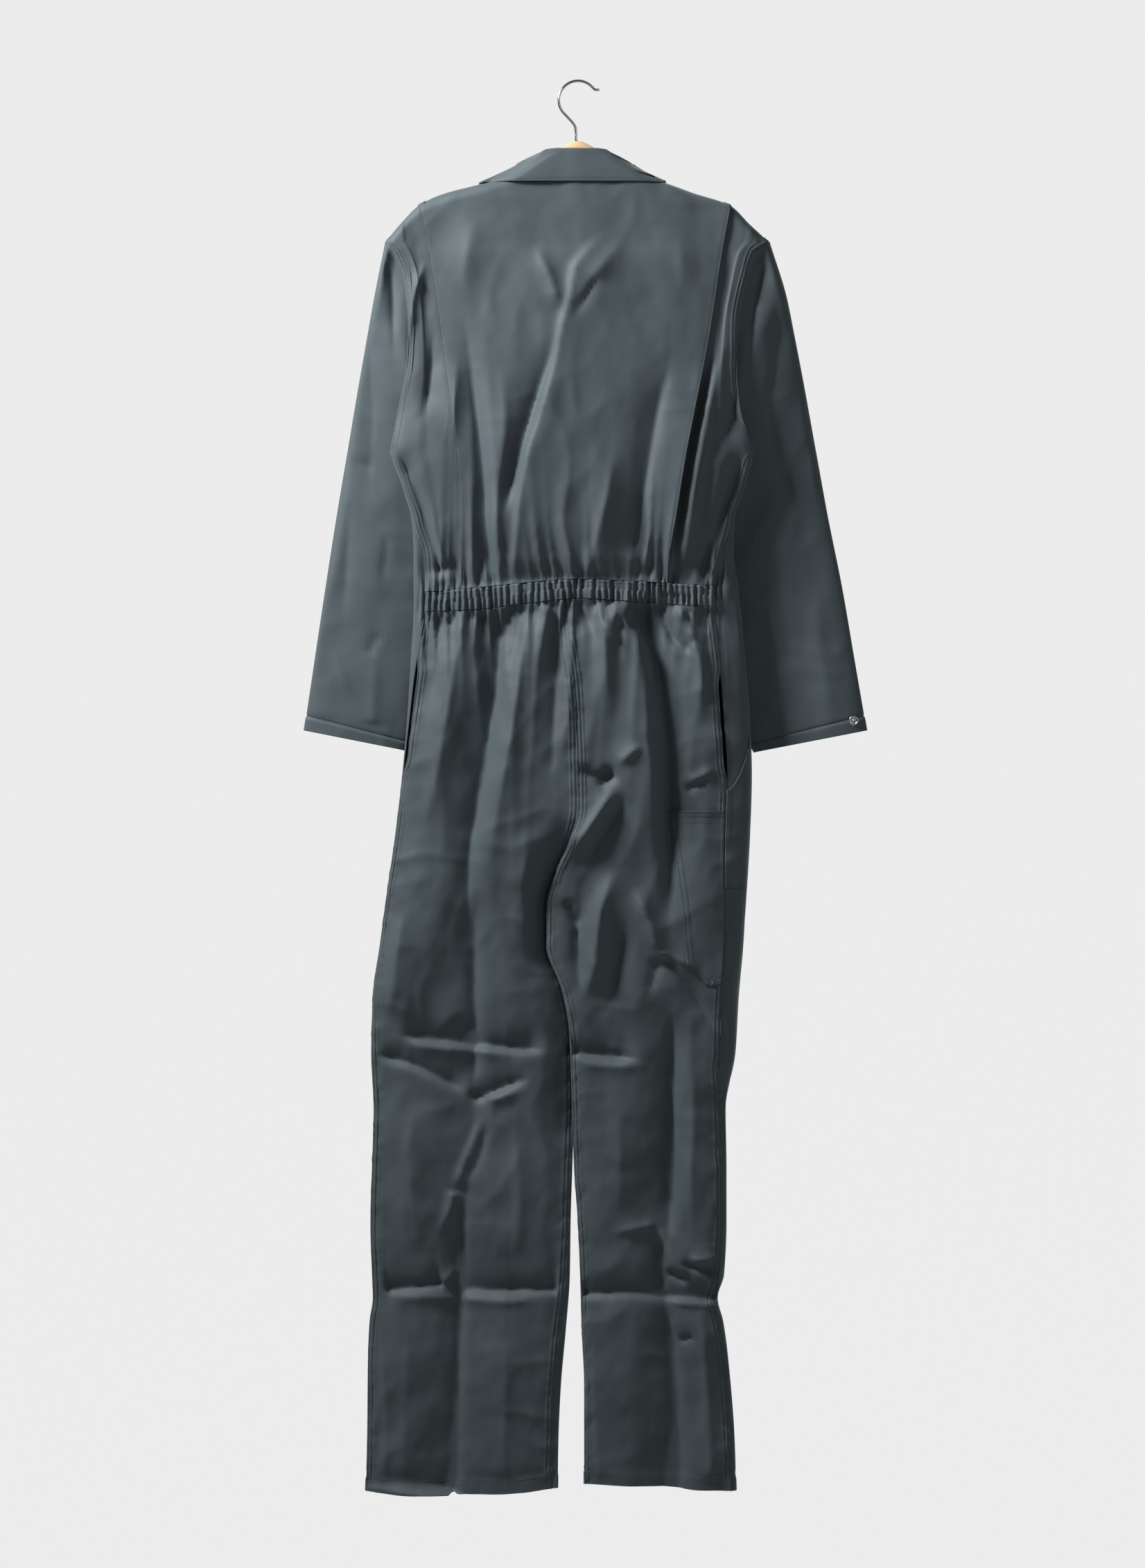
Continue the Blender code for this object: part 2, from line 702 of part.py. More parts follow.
def make_collar():
    """The stand rises from the neck seam to the roll, and the fall lies over the shoulders."""
    def clear_of(spot, front):
        """The same place, moved out or up until it is clear of the shoulder's cloth."""
        face = 1 if front else -1
        least = skin_y(face, spot.x, spot.z, -CLOTH / 2 - COLLAR_LIFT)
        crest = SHOULDER.at("level", spot.x) + CLOTH / 2 + COLLAR_LIFT
        if spot.z < crest:
            if abs(spot.y) < 4 * MM:
                return Vector((spot.x, spot.y, crest))
            spot.y = face * max(face * spot.y, face * least)
        return spot

    def ribs(k):
        """Neck seam, roll and fall edge at k, from -1 by the left to 1; 0 is the centre back."""
        side = 1 if k >= 0 else -1
        place = abs(k) * 1000 * MM
        front = place > 500 * MM
        neck_x = side * COLLAR.at("neck_x", place)
        neck_z = (FRONT_NECK if front else BACK_NECK).at("level", neck_x) + (2.2 if front else 1.0) * MM
        neck = Vector((neck_x, skin_y(1 if front else -1, neck_x, neck_z - 3 * MM, CLOTH / 2), neck_z))
        narrow = COLLAR_RIGHT if side > 0 else 1.0
        roll_x, roll_y, roll_z = (COLLAR.at(name, place) for name in ("roll_x", "roll_y", "roll_z"))
        roll = Vector((side * narrow * roll_x, roll_y, roll_z))
        edge_x = side * narrow * COLLAR.at("edge_x", place)
        edge_z = COLLAR.at("edge_z", place)
        edge = Vector((edge_x, 9 * MM if front else -9 * MM, edge_z))
        if abs(place - 500 * MM) < 25 * MM:
            edge.y = (place - 500 * MM) * 0.08
        edge = clear_of(edge, front)
        return neck, roll, edge

    def middle(k, c):
        neck, roll, edge = ribs(k)
        out = edge - neck
        out.z = 0
        out = out.normalized() if out.length > 1e-6 else Vector((0, -1, 0))
        top = roll + Vector((0, 0, -COLLAR_ROLL))
        stand_top = top - out * COLLAR_ROLL
        fall_top = top + out * COLLAR_ROLL
        path = [neck, neck.lerp(stand_top, 0.55), stand_top]
        path += [top + (Vector((0, 0, 1)) * math.sin(a) - out * math.cos(a)) * COLLAR_ROLL for a in (1.0, 2.14)]
        path += [fall_top]
        path += [clear_of(fall_top.lerp(edge, share), abs(k) > 0.5) for share in (0.45, 0.8)]
        return [*path, edge][c]

    around = [-place / 1000 for place in reversed(COLLAR_PLACES[1:])] + [place / 1000 for place in COLLAR_PLACES]
    count = len(around) - 1
    grid = [[middle(k, c) for c in range(9)] for k in around]
    skins = [[], []]
    for j, row in enumerate(grid):
        lines = [[], []]
        for i, spot in enumerate(row):
            along = grid[min(j + 1, count)][i] - grid[max(j - 1, 0)][i]
            over = row[min(i + 1, 8)] - row[max(i - 1, 0)]
            normal = over.cross(along).normalized()
            for n, way in enumerate((1, -1)):
                lines[n].append(spot + normal * way * CLOTH / 2)
        skins[0].append(lines[0])
        skins[1].append(lines[1])
    wall("collar", *skins)


def make_placket():
    def point(u, v, inset):
        z = lerp(FRONT_NECK.at("level", 0) - 5 * MM, CROTCH_TOP + 20 * MM, v)
        middle = INNER.at("left", z)
        x = middle + lerp(-PLACKET_HALF, PLACKET_HALF, u)
        return Vector((x, skin_y(1, x, z, inset), z))

    panel("front_placket", spread(2), spread(12), point, lift=CLOTH + PATCH_GAP)


def make_hip_pocket(side):
    """A patch on the front that runs round to the side seam. Its mouth slants up to the front."""
    def point(u, v, inset):
        mouth = lerp(-868, -735, smoothstep(u * 1.8)) * MM
        z = lerp(mouth, -988 * MM, v)
        (start, _), _ = seams_at(side, z)
        return half_ring(side, z, 1, lerp(-start, 1, u), inset)

    panel(f"hip_pocket_{side}", FRONT_COLUMNS[:7], spread(6), point, lift=CLOTH + PATCH_GAP + GAP)


def make_tool_pocket():
    """A patch on the back of the right leg that runs to the side seam."""
    def point(u, v, inset):
        z = lerp(-894 * MM, -1107 * MM, v)
        (_, start), _ = seams_at("right", z)
        seam = half_ring("right", z, -1, start).x - 1 * MM
        x = lerp(TOOL_POCKET.at("left", z), seam, u)
        return Vector((x, skin_y(-1, x, z, inset, "right"), z))

    rows = (0, 0.15, 0.3, 0.45, 0.6, 0.75, 0.88, 0.97, 1)
    panel("tool_pocket", spread(4), rows, point, lift=CLOTH + PATCH_GAP + GAP)


# --- Metal and wood -------------------------------------------------------------------------


def swept(name, path, radii, material, sides=10):
    """A round or oval bar along a path in the hanger's plane. radii gives (in plane, across)."""
    points, faces = [], []
    for n, spot in enumerate(path):
        ahead = path[min(n + 1, len(path) - 1)] - path[max(n - 1, 0)]
        up = Vector((-ahead.z, 0, ahead.x)).normalized()
        for k in range(sides):
            a = 2 * math.pi * k / sides
            points.append(spot + up * radii[n][0] * math.cos(a) + Vector((0, radii[n][1] * math.sin(a), 0)))
    for n in range(len(path) - 1):
        for k in range(sides):
            m = (k + 1) % sides
            faces.append([n * sides + k, n * sides + m, (n + 1) * sides + m, (n + 1) * sides + k])
    faces.append(list(range(sides)))
    faces.append([(len(path) - 1) * sides + k for k in range(sides)])
    return closed_mesh(name, points, faces, material, sharp=60)


def hanger_top(x):
    """The top of the bow: just under the shoulders, and arched up through the neck."""
    if abs(x) < NECK_HALF:
        return HANGER_ARCH.at("level", x)
    return SHOULDER.at("level", x) - CLOTH - HANGER_SPARE


def make_hanger():
    """One bow of wood. Its rounded top fits inside the shoulders' own round."""
    path, radii = [], []
    for i in range(-18, 19):
        x = HANGER_HALF * i / 18
        top = hanger_top(x)
        slope = (hanger_top(x + 4 * MM) - hanger_top(x - 4 * MM)) / (8 * MM)
        deep = HANGER_DEEP / 2 * (1 - 0.5 * abs(i) / 18)
        room = (BODY.at("front", top) - CLOTH) * profile(x, BODY.at("left", top), BODY.at("right", top))
        path.append(Vector((x, 0, top)) - Vector((-slope, 0, 1)).normalized() * deep)
        radii.append((deep, min(HANGER_THICK / 2, 0.6 * room * math.sqrt(deep / SHOULDER_ROUND))))
    swept("hanger_body", path, radii, "wood", sides=12)


def make_hook():
    stem_foot = HANGER_ARCH.at("level", 0) + GAP
    middle = Vector((0.8 * MM, 0, -HOOK_INSIDE))
    radius = HOOK_INSIDE + HOOK_WIRE / 2
    path = [Vector((-1.7 * MM, 0, stem_foot)), Vector((-1.7 * MM, 0, -62 * MM)), Vector((-3 * MM, 0, -54 * MM))]
    path.append(Vector((-8 * MM, 0, -47 * MM)))
    for degrees in range(228, 39, -12):
        a = math.radians(degrees)
        path.append(middle + Vector((math.cos(a), 0, math.sin(a))) * radius)
    path.append(Vector((21.5 * MM, 0, -9.2 * MM)))
    path.append(Vector((26 * MM, 0, -9.4 * MM)))
    wire = HOOK_WIRE / 2
    swept("hanger_hook", path, [(wire, wire)] * len(path), "chrome", sides=12)


def make_snap():
    """The ring of the snap on the right cuff, as a low ring with a dished middle."""
    outward = -1
    centre = SNAP_PLACE
    rings = ((0.0, 6.0), (1.1, 6.0), (1.5, 4.9), (1.1, 3.6), (0.5, 3.0))
    sides = 24
    points, faces = [], []
    for high, radius in rings:
        for k in range(sides):
            a = 2 * math.pi * k / sides
            points.append(centre + Vector((math.cos(a) * radius, outward * high, math.sin(a) * radius)) * MM)
    for n in range(len(rings) - 1):
        for k in range(sides):
            m = (k + 1) % sides
            faces.append([n * sides + k, n * sides + m, (n + 1) * sides + m, (n + 1) * sides + k])
    faces.append(list(range(sides)))
    faces.append([(len(rings) - 1) * sides + k for k in range(sides)])
    closed_mesh("cuff_snap", points, faces, "chrome", sharp=30)


# --- Build ----------------------------------------------------------------------------------


def material(name, colour, roughness, metallic=0.0):
    found = bpy.data.materials.new(name)
    found.use_nodes = True
    shader = found.node_tree.nodes["Principled BSDF"]
    shader.inputs["Base Color"].default_value = (*colour, 1)
    shader.inputs["Roughness"].default_value = roughness
    shader.inputs["Metallic"].default_value = metallic
    return found


def main():
    for found in list(bpy.data.objects):
        bpy.data.objects.remove(found, do_unlink=True)
    MATERIALS["cloth"] = material("cloth", (0.075, 0.1, 0.107), 0.85)
    MATERIALS["wood"] = material("wood", (0.78, 0.56, 0.33), 0.45)
    MATERIALS["chrome"] = material("chrome", (0.8, 0.8, 0.8), 0.2, 1.0)
    make_back_centre()
    make_waistband()
    for side in ("left", "right"):
        make_back_side(side)
        make_leg_back(side)
        make_front(side)
        make_sleeve(side)
        make_hip_pocket(side)
    make_collar()
    make_placket()
    make_tool_pocket()
    make_hanger()
    make_hook()
    make_snap()


main()
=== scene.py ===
"""Boiler suit on a wooden hanger, seen from its back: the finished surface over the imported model.

Every length is in metres and +Z is up. The suit's back faces -Y, and +X is towards its right
arm. The cloth is a set of thin shells on one flattened form: BODY gives the sides and depths,
INNER the centre line that parts into two legs, and the FOLDS tables the creases laid on them.
"""

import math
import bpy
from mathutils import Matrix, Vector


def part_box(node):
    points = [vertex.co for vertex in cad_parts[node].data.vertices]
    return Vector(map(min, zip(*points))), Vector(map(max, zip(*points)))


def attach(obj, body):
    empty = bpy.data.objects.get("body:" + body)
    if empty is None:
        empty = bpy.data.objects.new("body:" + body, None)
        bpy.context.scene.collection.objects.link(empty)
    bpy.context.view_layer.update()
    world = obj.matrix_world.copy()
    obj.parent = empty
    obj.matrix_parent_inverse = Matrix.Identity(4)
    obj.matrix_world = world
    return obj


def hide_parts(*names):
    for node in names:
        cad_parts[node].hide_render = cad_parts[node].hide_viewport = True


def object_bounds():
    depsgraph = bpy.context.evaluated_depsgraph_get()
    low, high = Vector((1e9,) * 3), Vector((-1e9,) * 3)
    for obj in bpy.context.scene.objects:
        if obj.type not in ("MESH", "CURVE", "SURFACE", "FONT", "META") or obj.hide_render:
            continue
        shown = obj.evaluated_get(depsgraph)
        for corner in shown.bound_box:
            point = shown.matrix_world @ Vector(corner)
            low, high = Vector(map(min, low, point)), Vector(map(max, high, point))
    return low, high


bl_info = {
    "name": "Boiler Suit",
    "version": (1, 0, 0),
    "blender": (4, 5, 0),
    "location": "View3D > Sidebar > Boiler Suit",
    "description": "Builds a boiler suit hung flat on a wooden hanger",
    "category": "Object",
}

import bmesh
import bpy
import numpy as np
from bpy.props import FloatProperty, FloatVectorProperty, IntProperty, PointerProperty
from bpy.types import Operator, Panel, PropertyGroup
from mathutils import Vector

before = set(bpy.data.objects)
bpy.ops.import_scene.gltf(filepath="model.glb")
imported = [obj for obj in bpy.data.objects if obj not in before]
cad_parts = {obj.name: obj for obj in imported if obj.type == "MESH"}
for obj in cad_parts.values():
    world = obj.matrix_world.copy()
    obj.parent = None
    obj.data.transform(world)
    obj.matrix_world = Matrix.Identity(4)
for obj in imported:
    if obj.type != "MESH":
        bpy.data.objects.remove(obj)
CAD_BOUNDS = [list(corner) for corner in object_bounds()]

MM = 0.001
SEAM_GAP = 0.3 * MM
FLATNESS = 0.7  # 1 is a plain ellipse; less is flatter faces and tighter sides
SHOULDER_ROUND = 15 * MM
UNDERARM = -450 * MM
HEM_LEVEL = -1727 * MM
CROTCH_TOP, CROTCH_LOW = -900 * MM, -1010 * MM
NECK_HALF = 96 * MM
# Distances from a sewn edge at which a panel has points: close over the felled seam.
EDGE_STEPS = np.array((0, 0.7, 1.5, 2.3, 3.3, 4.6, 5.9, 6.7, 7.5, 8.4, 9.6, 11.4)) * MM
# The same down a panel: close over the round of the shoulder and at the foot.
ROW_STEPS = np.array((0, 0.3, 1.0, 2.2, 4.0, 6.5, 9.5, 13)) * MM
SEAM_SETTLES = 16 * MM  # below the underarm the side seam comes off the side over this length
FELL_WIDTH, FELL_HEIGHT, GROOVE = 9.0 * MM, 1.1 * MM, 1.1 * MM
FELL_STITCHES = (1.5 * MM, 6.7 * MM)
HEM_WIDTH = 19 * MM
# The two rows of stitches along the edges of pleats, collar and pockets.
EDGE_ROW, SECOND_ROW, ROW_WIDTH = 2.2 * MM, 8.5 * MM, 0.9 * MM


# --- Settings -------------------------------------------------------------------------------


class ClothSettings(PropertyGroup):
    thickness: FloatProperty(
        name="Thickness", description="Of one layer of twill",
        default=1.1 * MM, unit="LENGTH",
    )
    pitch: FloatProperty(
        name="Pitch", description="Between points on the back's panels",
        default=3.4 * MM, unit="LENGTH",
    )
    plain_pitch: FloatProperty(
        name="Plain Pitch", description="Between points on the fronts", default=7 * MM, unit="LENGTH"
    )
    colour: FloatVectorProperty(
        name="Colour", description="Of the twill",
        subtype="COLOR", default=(0.073, 0.099, 0.111), min=0, max=1,
    )
    # Darker than the twill: partly the thread's own colour, partly painted shade standing in for the shadows
    # along each row of stitches.
    thread: FloatVectorProperty(
        name="Thread", description="Of the stitches",
        subtype="COLOR", default=(0.060, 0.082, 0.088), min=0, max=1,
    )
    roughness: FloatProperty(name="Roughness", description="Of the twill", default=0.66, min=0, max=1)
    weave: FloatProperty(
        name="Weave", description="Pitch of the twill's diagonal ribs",
        default=0.9 * MM, unit="LENGTH",
    )


class FoldSettings(PropertyGroup):
    creases: FloatProperty(name="Creases", description="Scales the creases laid by hand", default=2.5)
    gathers: FloatProperty(
        name="Gathers", description="Scales the gathers at the waistband",
        default=1.25,
    )
    unevenness: FloatProperty(
        name="Unevenness", description="Height of the cloth's soft hollows",
        default=3.0 * MM, unit="LENGTH",
    )
    rumples: FloatProperty(
        name="Rumples", description="Height of the small sharp creases", default=1.3 * MM, unit="LENGTH"
    )
    seed: IntProperty(name="Seed", description="Of the soft hollows and gathers", default=11)


class StitchSettings(PropertyGroup):
    spacing: FloatProperty(
        name="Spacing", description="From one stitch to the next",
        default=3.1 * MM, unit="LENGTH",
    )
    length: FloatProperty(
        name="Length", description="Of the thread that shows",
        default=2.3 * MM, unit="LENGTH",
    )
    radius: FloatProperty(name="Radius", description="Of the thread", default=0.33 * MM, unit="LENGTH")


class HangerSettings(PropertyGroup):
    thickness: FloatProperty(name="Thickness", description="Of the bow", default=11 * MM, unit="LENGTH")
    depth: FloatProperty(
        name="Depth", description="Of the bow at its middle",
        default=30 * MM, unit="LENGTH",
    )
    half_span: FloatProperty(
        name="Half Span", description="From the middle to a tip",
        default=190 * MM, unit="LENGTH",
    )
    wire: FloatProperty(
        name="Wire", description="Diameter of the hook's wire",
        default=3.4 * MM, unit="LENGTH",
    )
    crown: FloatProperty(
        name="Crown", description="Inner radius of the hook",
        default=22 * MM, unit="LENGTH",
    )
    wood: FloatVectorProperty(
        name="Wood", description="Colour of the bow",
        subtype="COLOR", default=(0.80, 0.55, 0.31), min=0, max=1,
    )


class StageSettings(PropertyGroup):
    distance: FloatProperty(
        name="Distance", description="From the camera to the suit",
        default=5.2, unit="LENGTH",
    )
    picture: FloatProperty(
        name="Picture", description="Height that the picture takes in",
        default=1.924, unit="LENGTH",
    )
    across: FloatProperty(
        name="Across", description="Where the picture's middle is",
        default=-0.006, unit="LENGTH",
    )
    level: FloatProperty(
        name="Level", description="Height of the picture's middle",
        default=-0.861, unit="LENGTH",
    )
    backdrop: FloatProperty(name="Backdrop", description="Its brightness", default=0.83, min=0)


class BoilerSuitSettings(PropertyGroup):
    cloth: PointerProperty(type=ClothSettings)
    folds: PointerProperty(type=FoldSettings)
    stitches: PointerProperty(type=StitchSettings)
    hanger: PointerProperty(type=HangerSettings)
    stage: PointerProperty(type=StageSettings)


def settings():
    return bpy.context.scene.boiler_suit


# --- Curves through short tables ------------------------------------------------------------


def smoothstep(t):
    t = np.clip(t, 0, 1)
    return t * t * (3 - 2 * t)


def lerp(a, b, t):
    return a + (b - a) * t


def slopes(at, values):
    """Slopes of a curve through the points that never swings past them."""
    secants = np.diff(values) / np.diff(at)
    found = np.zeros(len(at))
    found[0], found[-1] = secants[0], secants[-1]
    before, after = secants[:-1], secants[1:]
    same = before * after > 0
    total = np.where(same, before + after, 1)
    found[1:-1] = np.where(same, 2 * before * after / total, 0)
    return found


class Curves:
    """A short table in millimetres. The first column is read along; the others are smooth curves."""

    def __init__(self, columns, *rows):
        rows = np.array(sorted(rows), dtype=float) * MM
        self.along = rows[:, 0]
        self.values = {name: rows[:, i] for i, name in enumerate(columns.split()) if i}
        self.slopes = {name: slopes(self.along, values) for name, values in self.values.items()}

    def at(self, name, where):
        where = np.clip(where, self.along[0], self.along[-1])
        i = np.clip(np.searchsorted(self.along, where, "right") - 1, 0, len(self.along) - 2)
        values, tangent = self.values[name], self.slopes[name]
        step = self.along[i + 1] - self.along[i]
        t = (where - self.along[i]) / step
        return (
            values[i] * (1 + 2 * t) * (1 - t) ** 2
            + values[i + 1] * t * t * (3 - 2 * t)
            + step * t * (1 - t) * (tangent[i] * (1 - t) - tangent[i + 1] * t)
        )


# Sides of the body and its depth behind and in front, down the suit.
BODY = Curves(
    "level left right rear front",
    (-100, -246, 247, 20, 15),
    (-197, -246, 247, 22, 15),
    (-215, -236, 232, 24, 14),
    (-250, -224, 219, 26, 13),
    (-330, -217, 206, 31, 14),
    (-400, -220, 208, 35, 15),
    (-450, -229, 216, 38, 15),
    (-495, -215, 206, 39, 15),
    (-540, -203, 193, 38, 15),
    (-580, -201, 192, 33, 15),
    (-615, -201, 197, 25, 14),
    (-650, -201, 201, 25, 14),
    (-700, -204, 205, 33, 15),
    (-770, -208, 211, 38, 16),
    (-850, -215, 214, 39, 17),
    (-920, -223, 212, 37, 17),
    (-990, -233, 208, 33, 16),
    (-1055, -242, 204, 30, 15),
    (-1123, -251, 198, 28, 15),
    (-1190, -253, 194, 27, 15),
    (-1260, -250, 182, 26, 14),
    (-1330, -252, 183, 25, 14),
    (-1400, -254, 183, 24, 13),
    (-1463, -252, 180, 23, 13),
    (-1491, -251, 172, 21, 12),
    (-1520, -255, 179, 22, 13),
    (-1565, -257, 185, 22, 13),
    (-1665, -258, 193, 20, 12),
    (-1730, -260, 195, 19, 12),
)
# The centre line, and below the crotch the inner side of each leg. The right thigh bulges
# across the left one.
INNER = Curves(
    "level left right",
    (-100, -3, -3),
    (-400, -7, -7),
    (-650, -14, -14),
    (-750, -4, -4),
    (-838, 0, 0),
    (-890, 1, 1),
    (-930, -8, -10),
    (-975, -25, -29),
    (-1010, -33, -38),
    (-1060, -33, -38),
    (-1110, -16, -20),
    (-1165, -6, -10),
    (-1250, -4, -7),
    (-1330, -6, -4.5),
    (-1395, -8, 0),
    (-1463, -9, 3),
    (-1531, -14, 5),
    (-1600, -20, 8),
    (-1665, -23, 8),
    (-1730, -24, 8),
)
# The folds of the two pleats, which edge the centre panel.
PLEATS = Curves(
    "level left right",
    (-151, -195, 188),
    (-211, -184, 177),
    (-271, -174, 168),
    (-331, -166, 158),
    (-400, -157, 144),
    (-462, -149, 132),
    (-530, -146, 121),
    (-580, -145, 113),
    (-640, -141, 108),
)
SHOULDER = Curves(
    "across level",
    (-236, -197),
    (-219, -176),
    (-194, -151),
    (-164, -137),
    (-126, -127),
    (-96, -119),
    (0, -70),
    (96, -119),
    (126, -130),
    (142, -136),
    (187, -151),
    (212, -175),
    (237, -198),
)
BACK_NECK = Curves("across level", (-96, -119), (-60, -113), (0, -112), (60, -113), (96, -119))
FRONT_NECK = Curves(
    "across level", (-96, -119), (-88, -141), (-60, -170), (0, -186), (60, -170), (88, -141), (96, -119)
)
BAND = Curves(
    "across top bottom",
    (-201, -627, -651),
    (-120, -621, -648),
    (-60, -615, -641),
    (0, -611, -635),
    (60, -613, -638),
    (120, -616, -642),
    (201, -620, -647),
)
HEM = Curves(
    "across level",
    (-262, -1727),
    (-200, -1732),
    (-158, -1732),
    (-152, -1728),
    (-146, -1731),
    (-100, -1731),
    (-24, -1724),
    (8, -1719),
    (100, -1722),
    (150, -1726),
    (196, -1727),
)
# How far the side seams lie on the back, in from the sides.
SIDE_SEAM = Curves(
    "level left right",
    (-400, 1, 1),
    (-450, 3, 3),
    (-495, 2, 2),
    (-540, 4, 3),
    (-580, 14, 14),
    (-615, 16, 28),
    (-650, 13, 35),
    (-700, 9, 33),
    (-760, 4, 33),
    (-860, 1, 31),
    (-920, 1, 31),
    (-995, 1, 27),
    (-1063, 1, 23),
    (-1131, 1, 21),
    (-1199, 1, 19),
    (-1259, 1, 7),
    (-1730, 1, 6),
)
INSEAM = Curves(
    "level left right", (-880, 0, 0), (-1050, 1, 1), (-1400, 3, 1), (-1560, 8, 1), (-1730, 7, 1)
)
ARMHOLE = Curves(
    "level left right",
    (-197, -236, 237),
    (-212, -222, 216),
    (-240, -211, 207),
    (-298, -207, 196),
    (-350, -209, 195),
    (-400, -219, 199),
    (-453, -229, 217),
)
# Each sleeve, by the distance from the armhole: its outer and inner edges, its half depth and
# how far behind the body its middle lies.
SLEEVE = Curves(
    "along left_outer_x left_outer_z left_inner_x left_inner_z right_outer_x right_outer_z "
    "right_inner_x right_inner_z depth middle",
    (0, -236, -197, -229, -453, 237, -197, 217, -453, 14, 0),
    (60, -249, -260, -214, -476, 257, -260, 205, -476, 15, 7),
    (110, -258, -307, -199, -500, 267, -307, 190, -502, 15, 16),
    (180, -271, -377, -185, -540, 281, -377, 180, -540, 15, 27),
    (260, -284, -452, -172, -590, 295, -452, 172, -590, 15, 33),
    (340, -297, -529, -165, -645, 309, -529, 167, -645, 14, 33),
    (430, -311, -619, -165, -710, 327, -619, 168, -710, 13, 32),
    (520, -325, -713, -184, -775, 343, -713, 190, -775, 12, 30),
    (606, -337, -795, -211, -820, 357, -795, 218, -822, 11, 28),
)
# Half the collar by the place round the neck: 0 is the centre back, 500 the shoulder and 1000
# the centre front.
COLLAR = Curves(
    "place neck_x roll_x roll_y roll_z edge_x edge_z",
    (0, 0, 0, -21, -83.5, 0, -124),
    (130, 26, 22, -21, -83.5, 34, -124),
    (220, 47, 37, -19, -84.5, 60, -124),
    (260, 56, 44, -18, -88, 72, -124),
    (390, 82, 62, -10, -95, 102, -124),
    (480, 94, 74, -3, -101, 118, -123.5),
    (520, 94, 76, 3, -104, 121, -127),
    (600, 88, 74, 10, -113, 124, -146),
    (700, 80, 66, 15, -128, 122, -172),
    (800, 62, 50, 17, -144, 112, -198),
    (900, 38, 32, 18, -158, 96, -222),
    (1000, 14, 16, 18, -168, 76, -242),
)
TOOL_POCKET = Curves("level left", (-1110, 158), (-1101, 152), (-1083, 135), (-1008, 127), (-894, 110.5))
HANGER_ARCH = Curves(
    "across level",
    (-98, -125),
    (-80, -118),
    (-58, -107),
    (-22, -81),
    (0, -72),
    (22, -81),
    (58, -107),
    (80, -118),
    (98, -125),
)
# The openings in the side seams: top, foot and width.
SLITS = {"left": (-700 * MM, -858 * MM, 4 * MM), "right": (-716 * MM, -864 * MM, 4.5 * MM)}
PLEAT_STEP = 2.6 * MM  # from one layer of a pleat to the next
PLEAT_GAPE = 12 * MM  # how deep the right pleat stands open
PLACKET_HALF = 24 * MM
HOOK_STEM = -1.7 * MM  # the stem stands a little off the middle
COLLAR_RIGHT = 0.9  # the fall hangs a little to the left
# How far, how wide and between which levels the right thigh lies across the left one.
THIGH_LEAN, LEAN_WIDTH, LEAN_TOP, LEAN_FOOT = 9 * MM, 45 * MM, -895 * MM, -1345 * MM
COLLAR_ROLL = 2.4 * MM  # radius of the roll
COLLAR_LIFT = 1.7 * MM  # of the fall off the shoulders
POCKET_LIFT = 1.5 * MM  # of a patch off its panel


# --- Creases --------------------------------------------------------------------------------

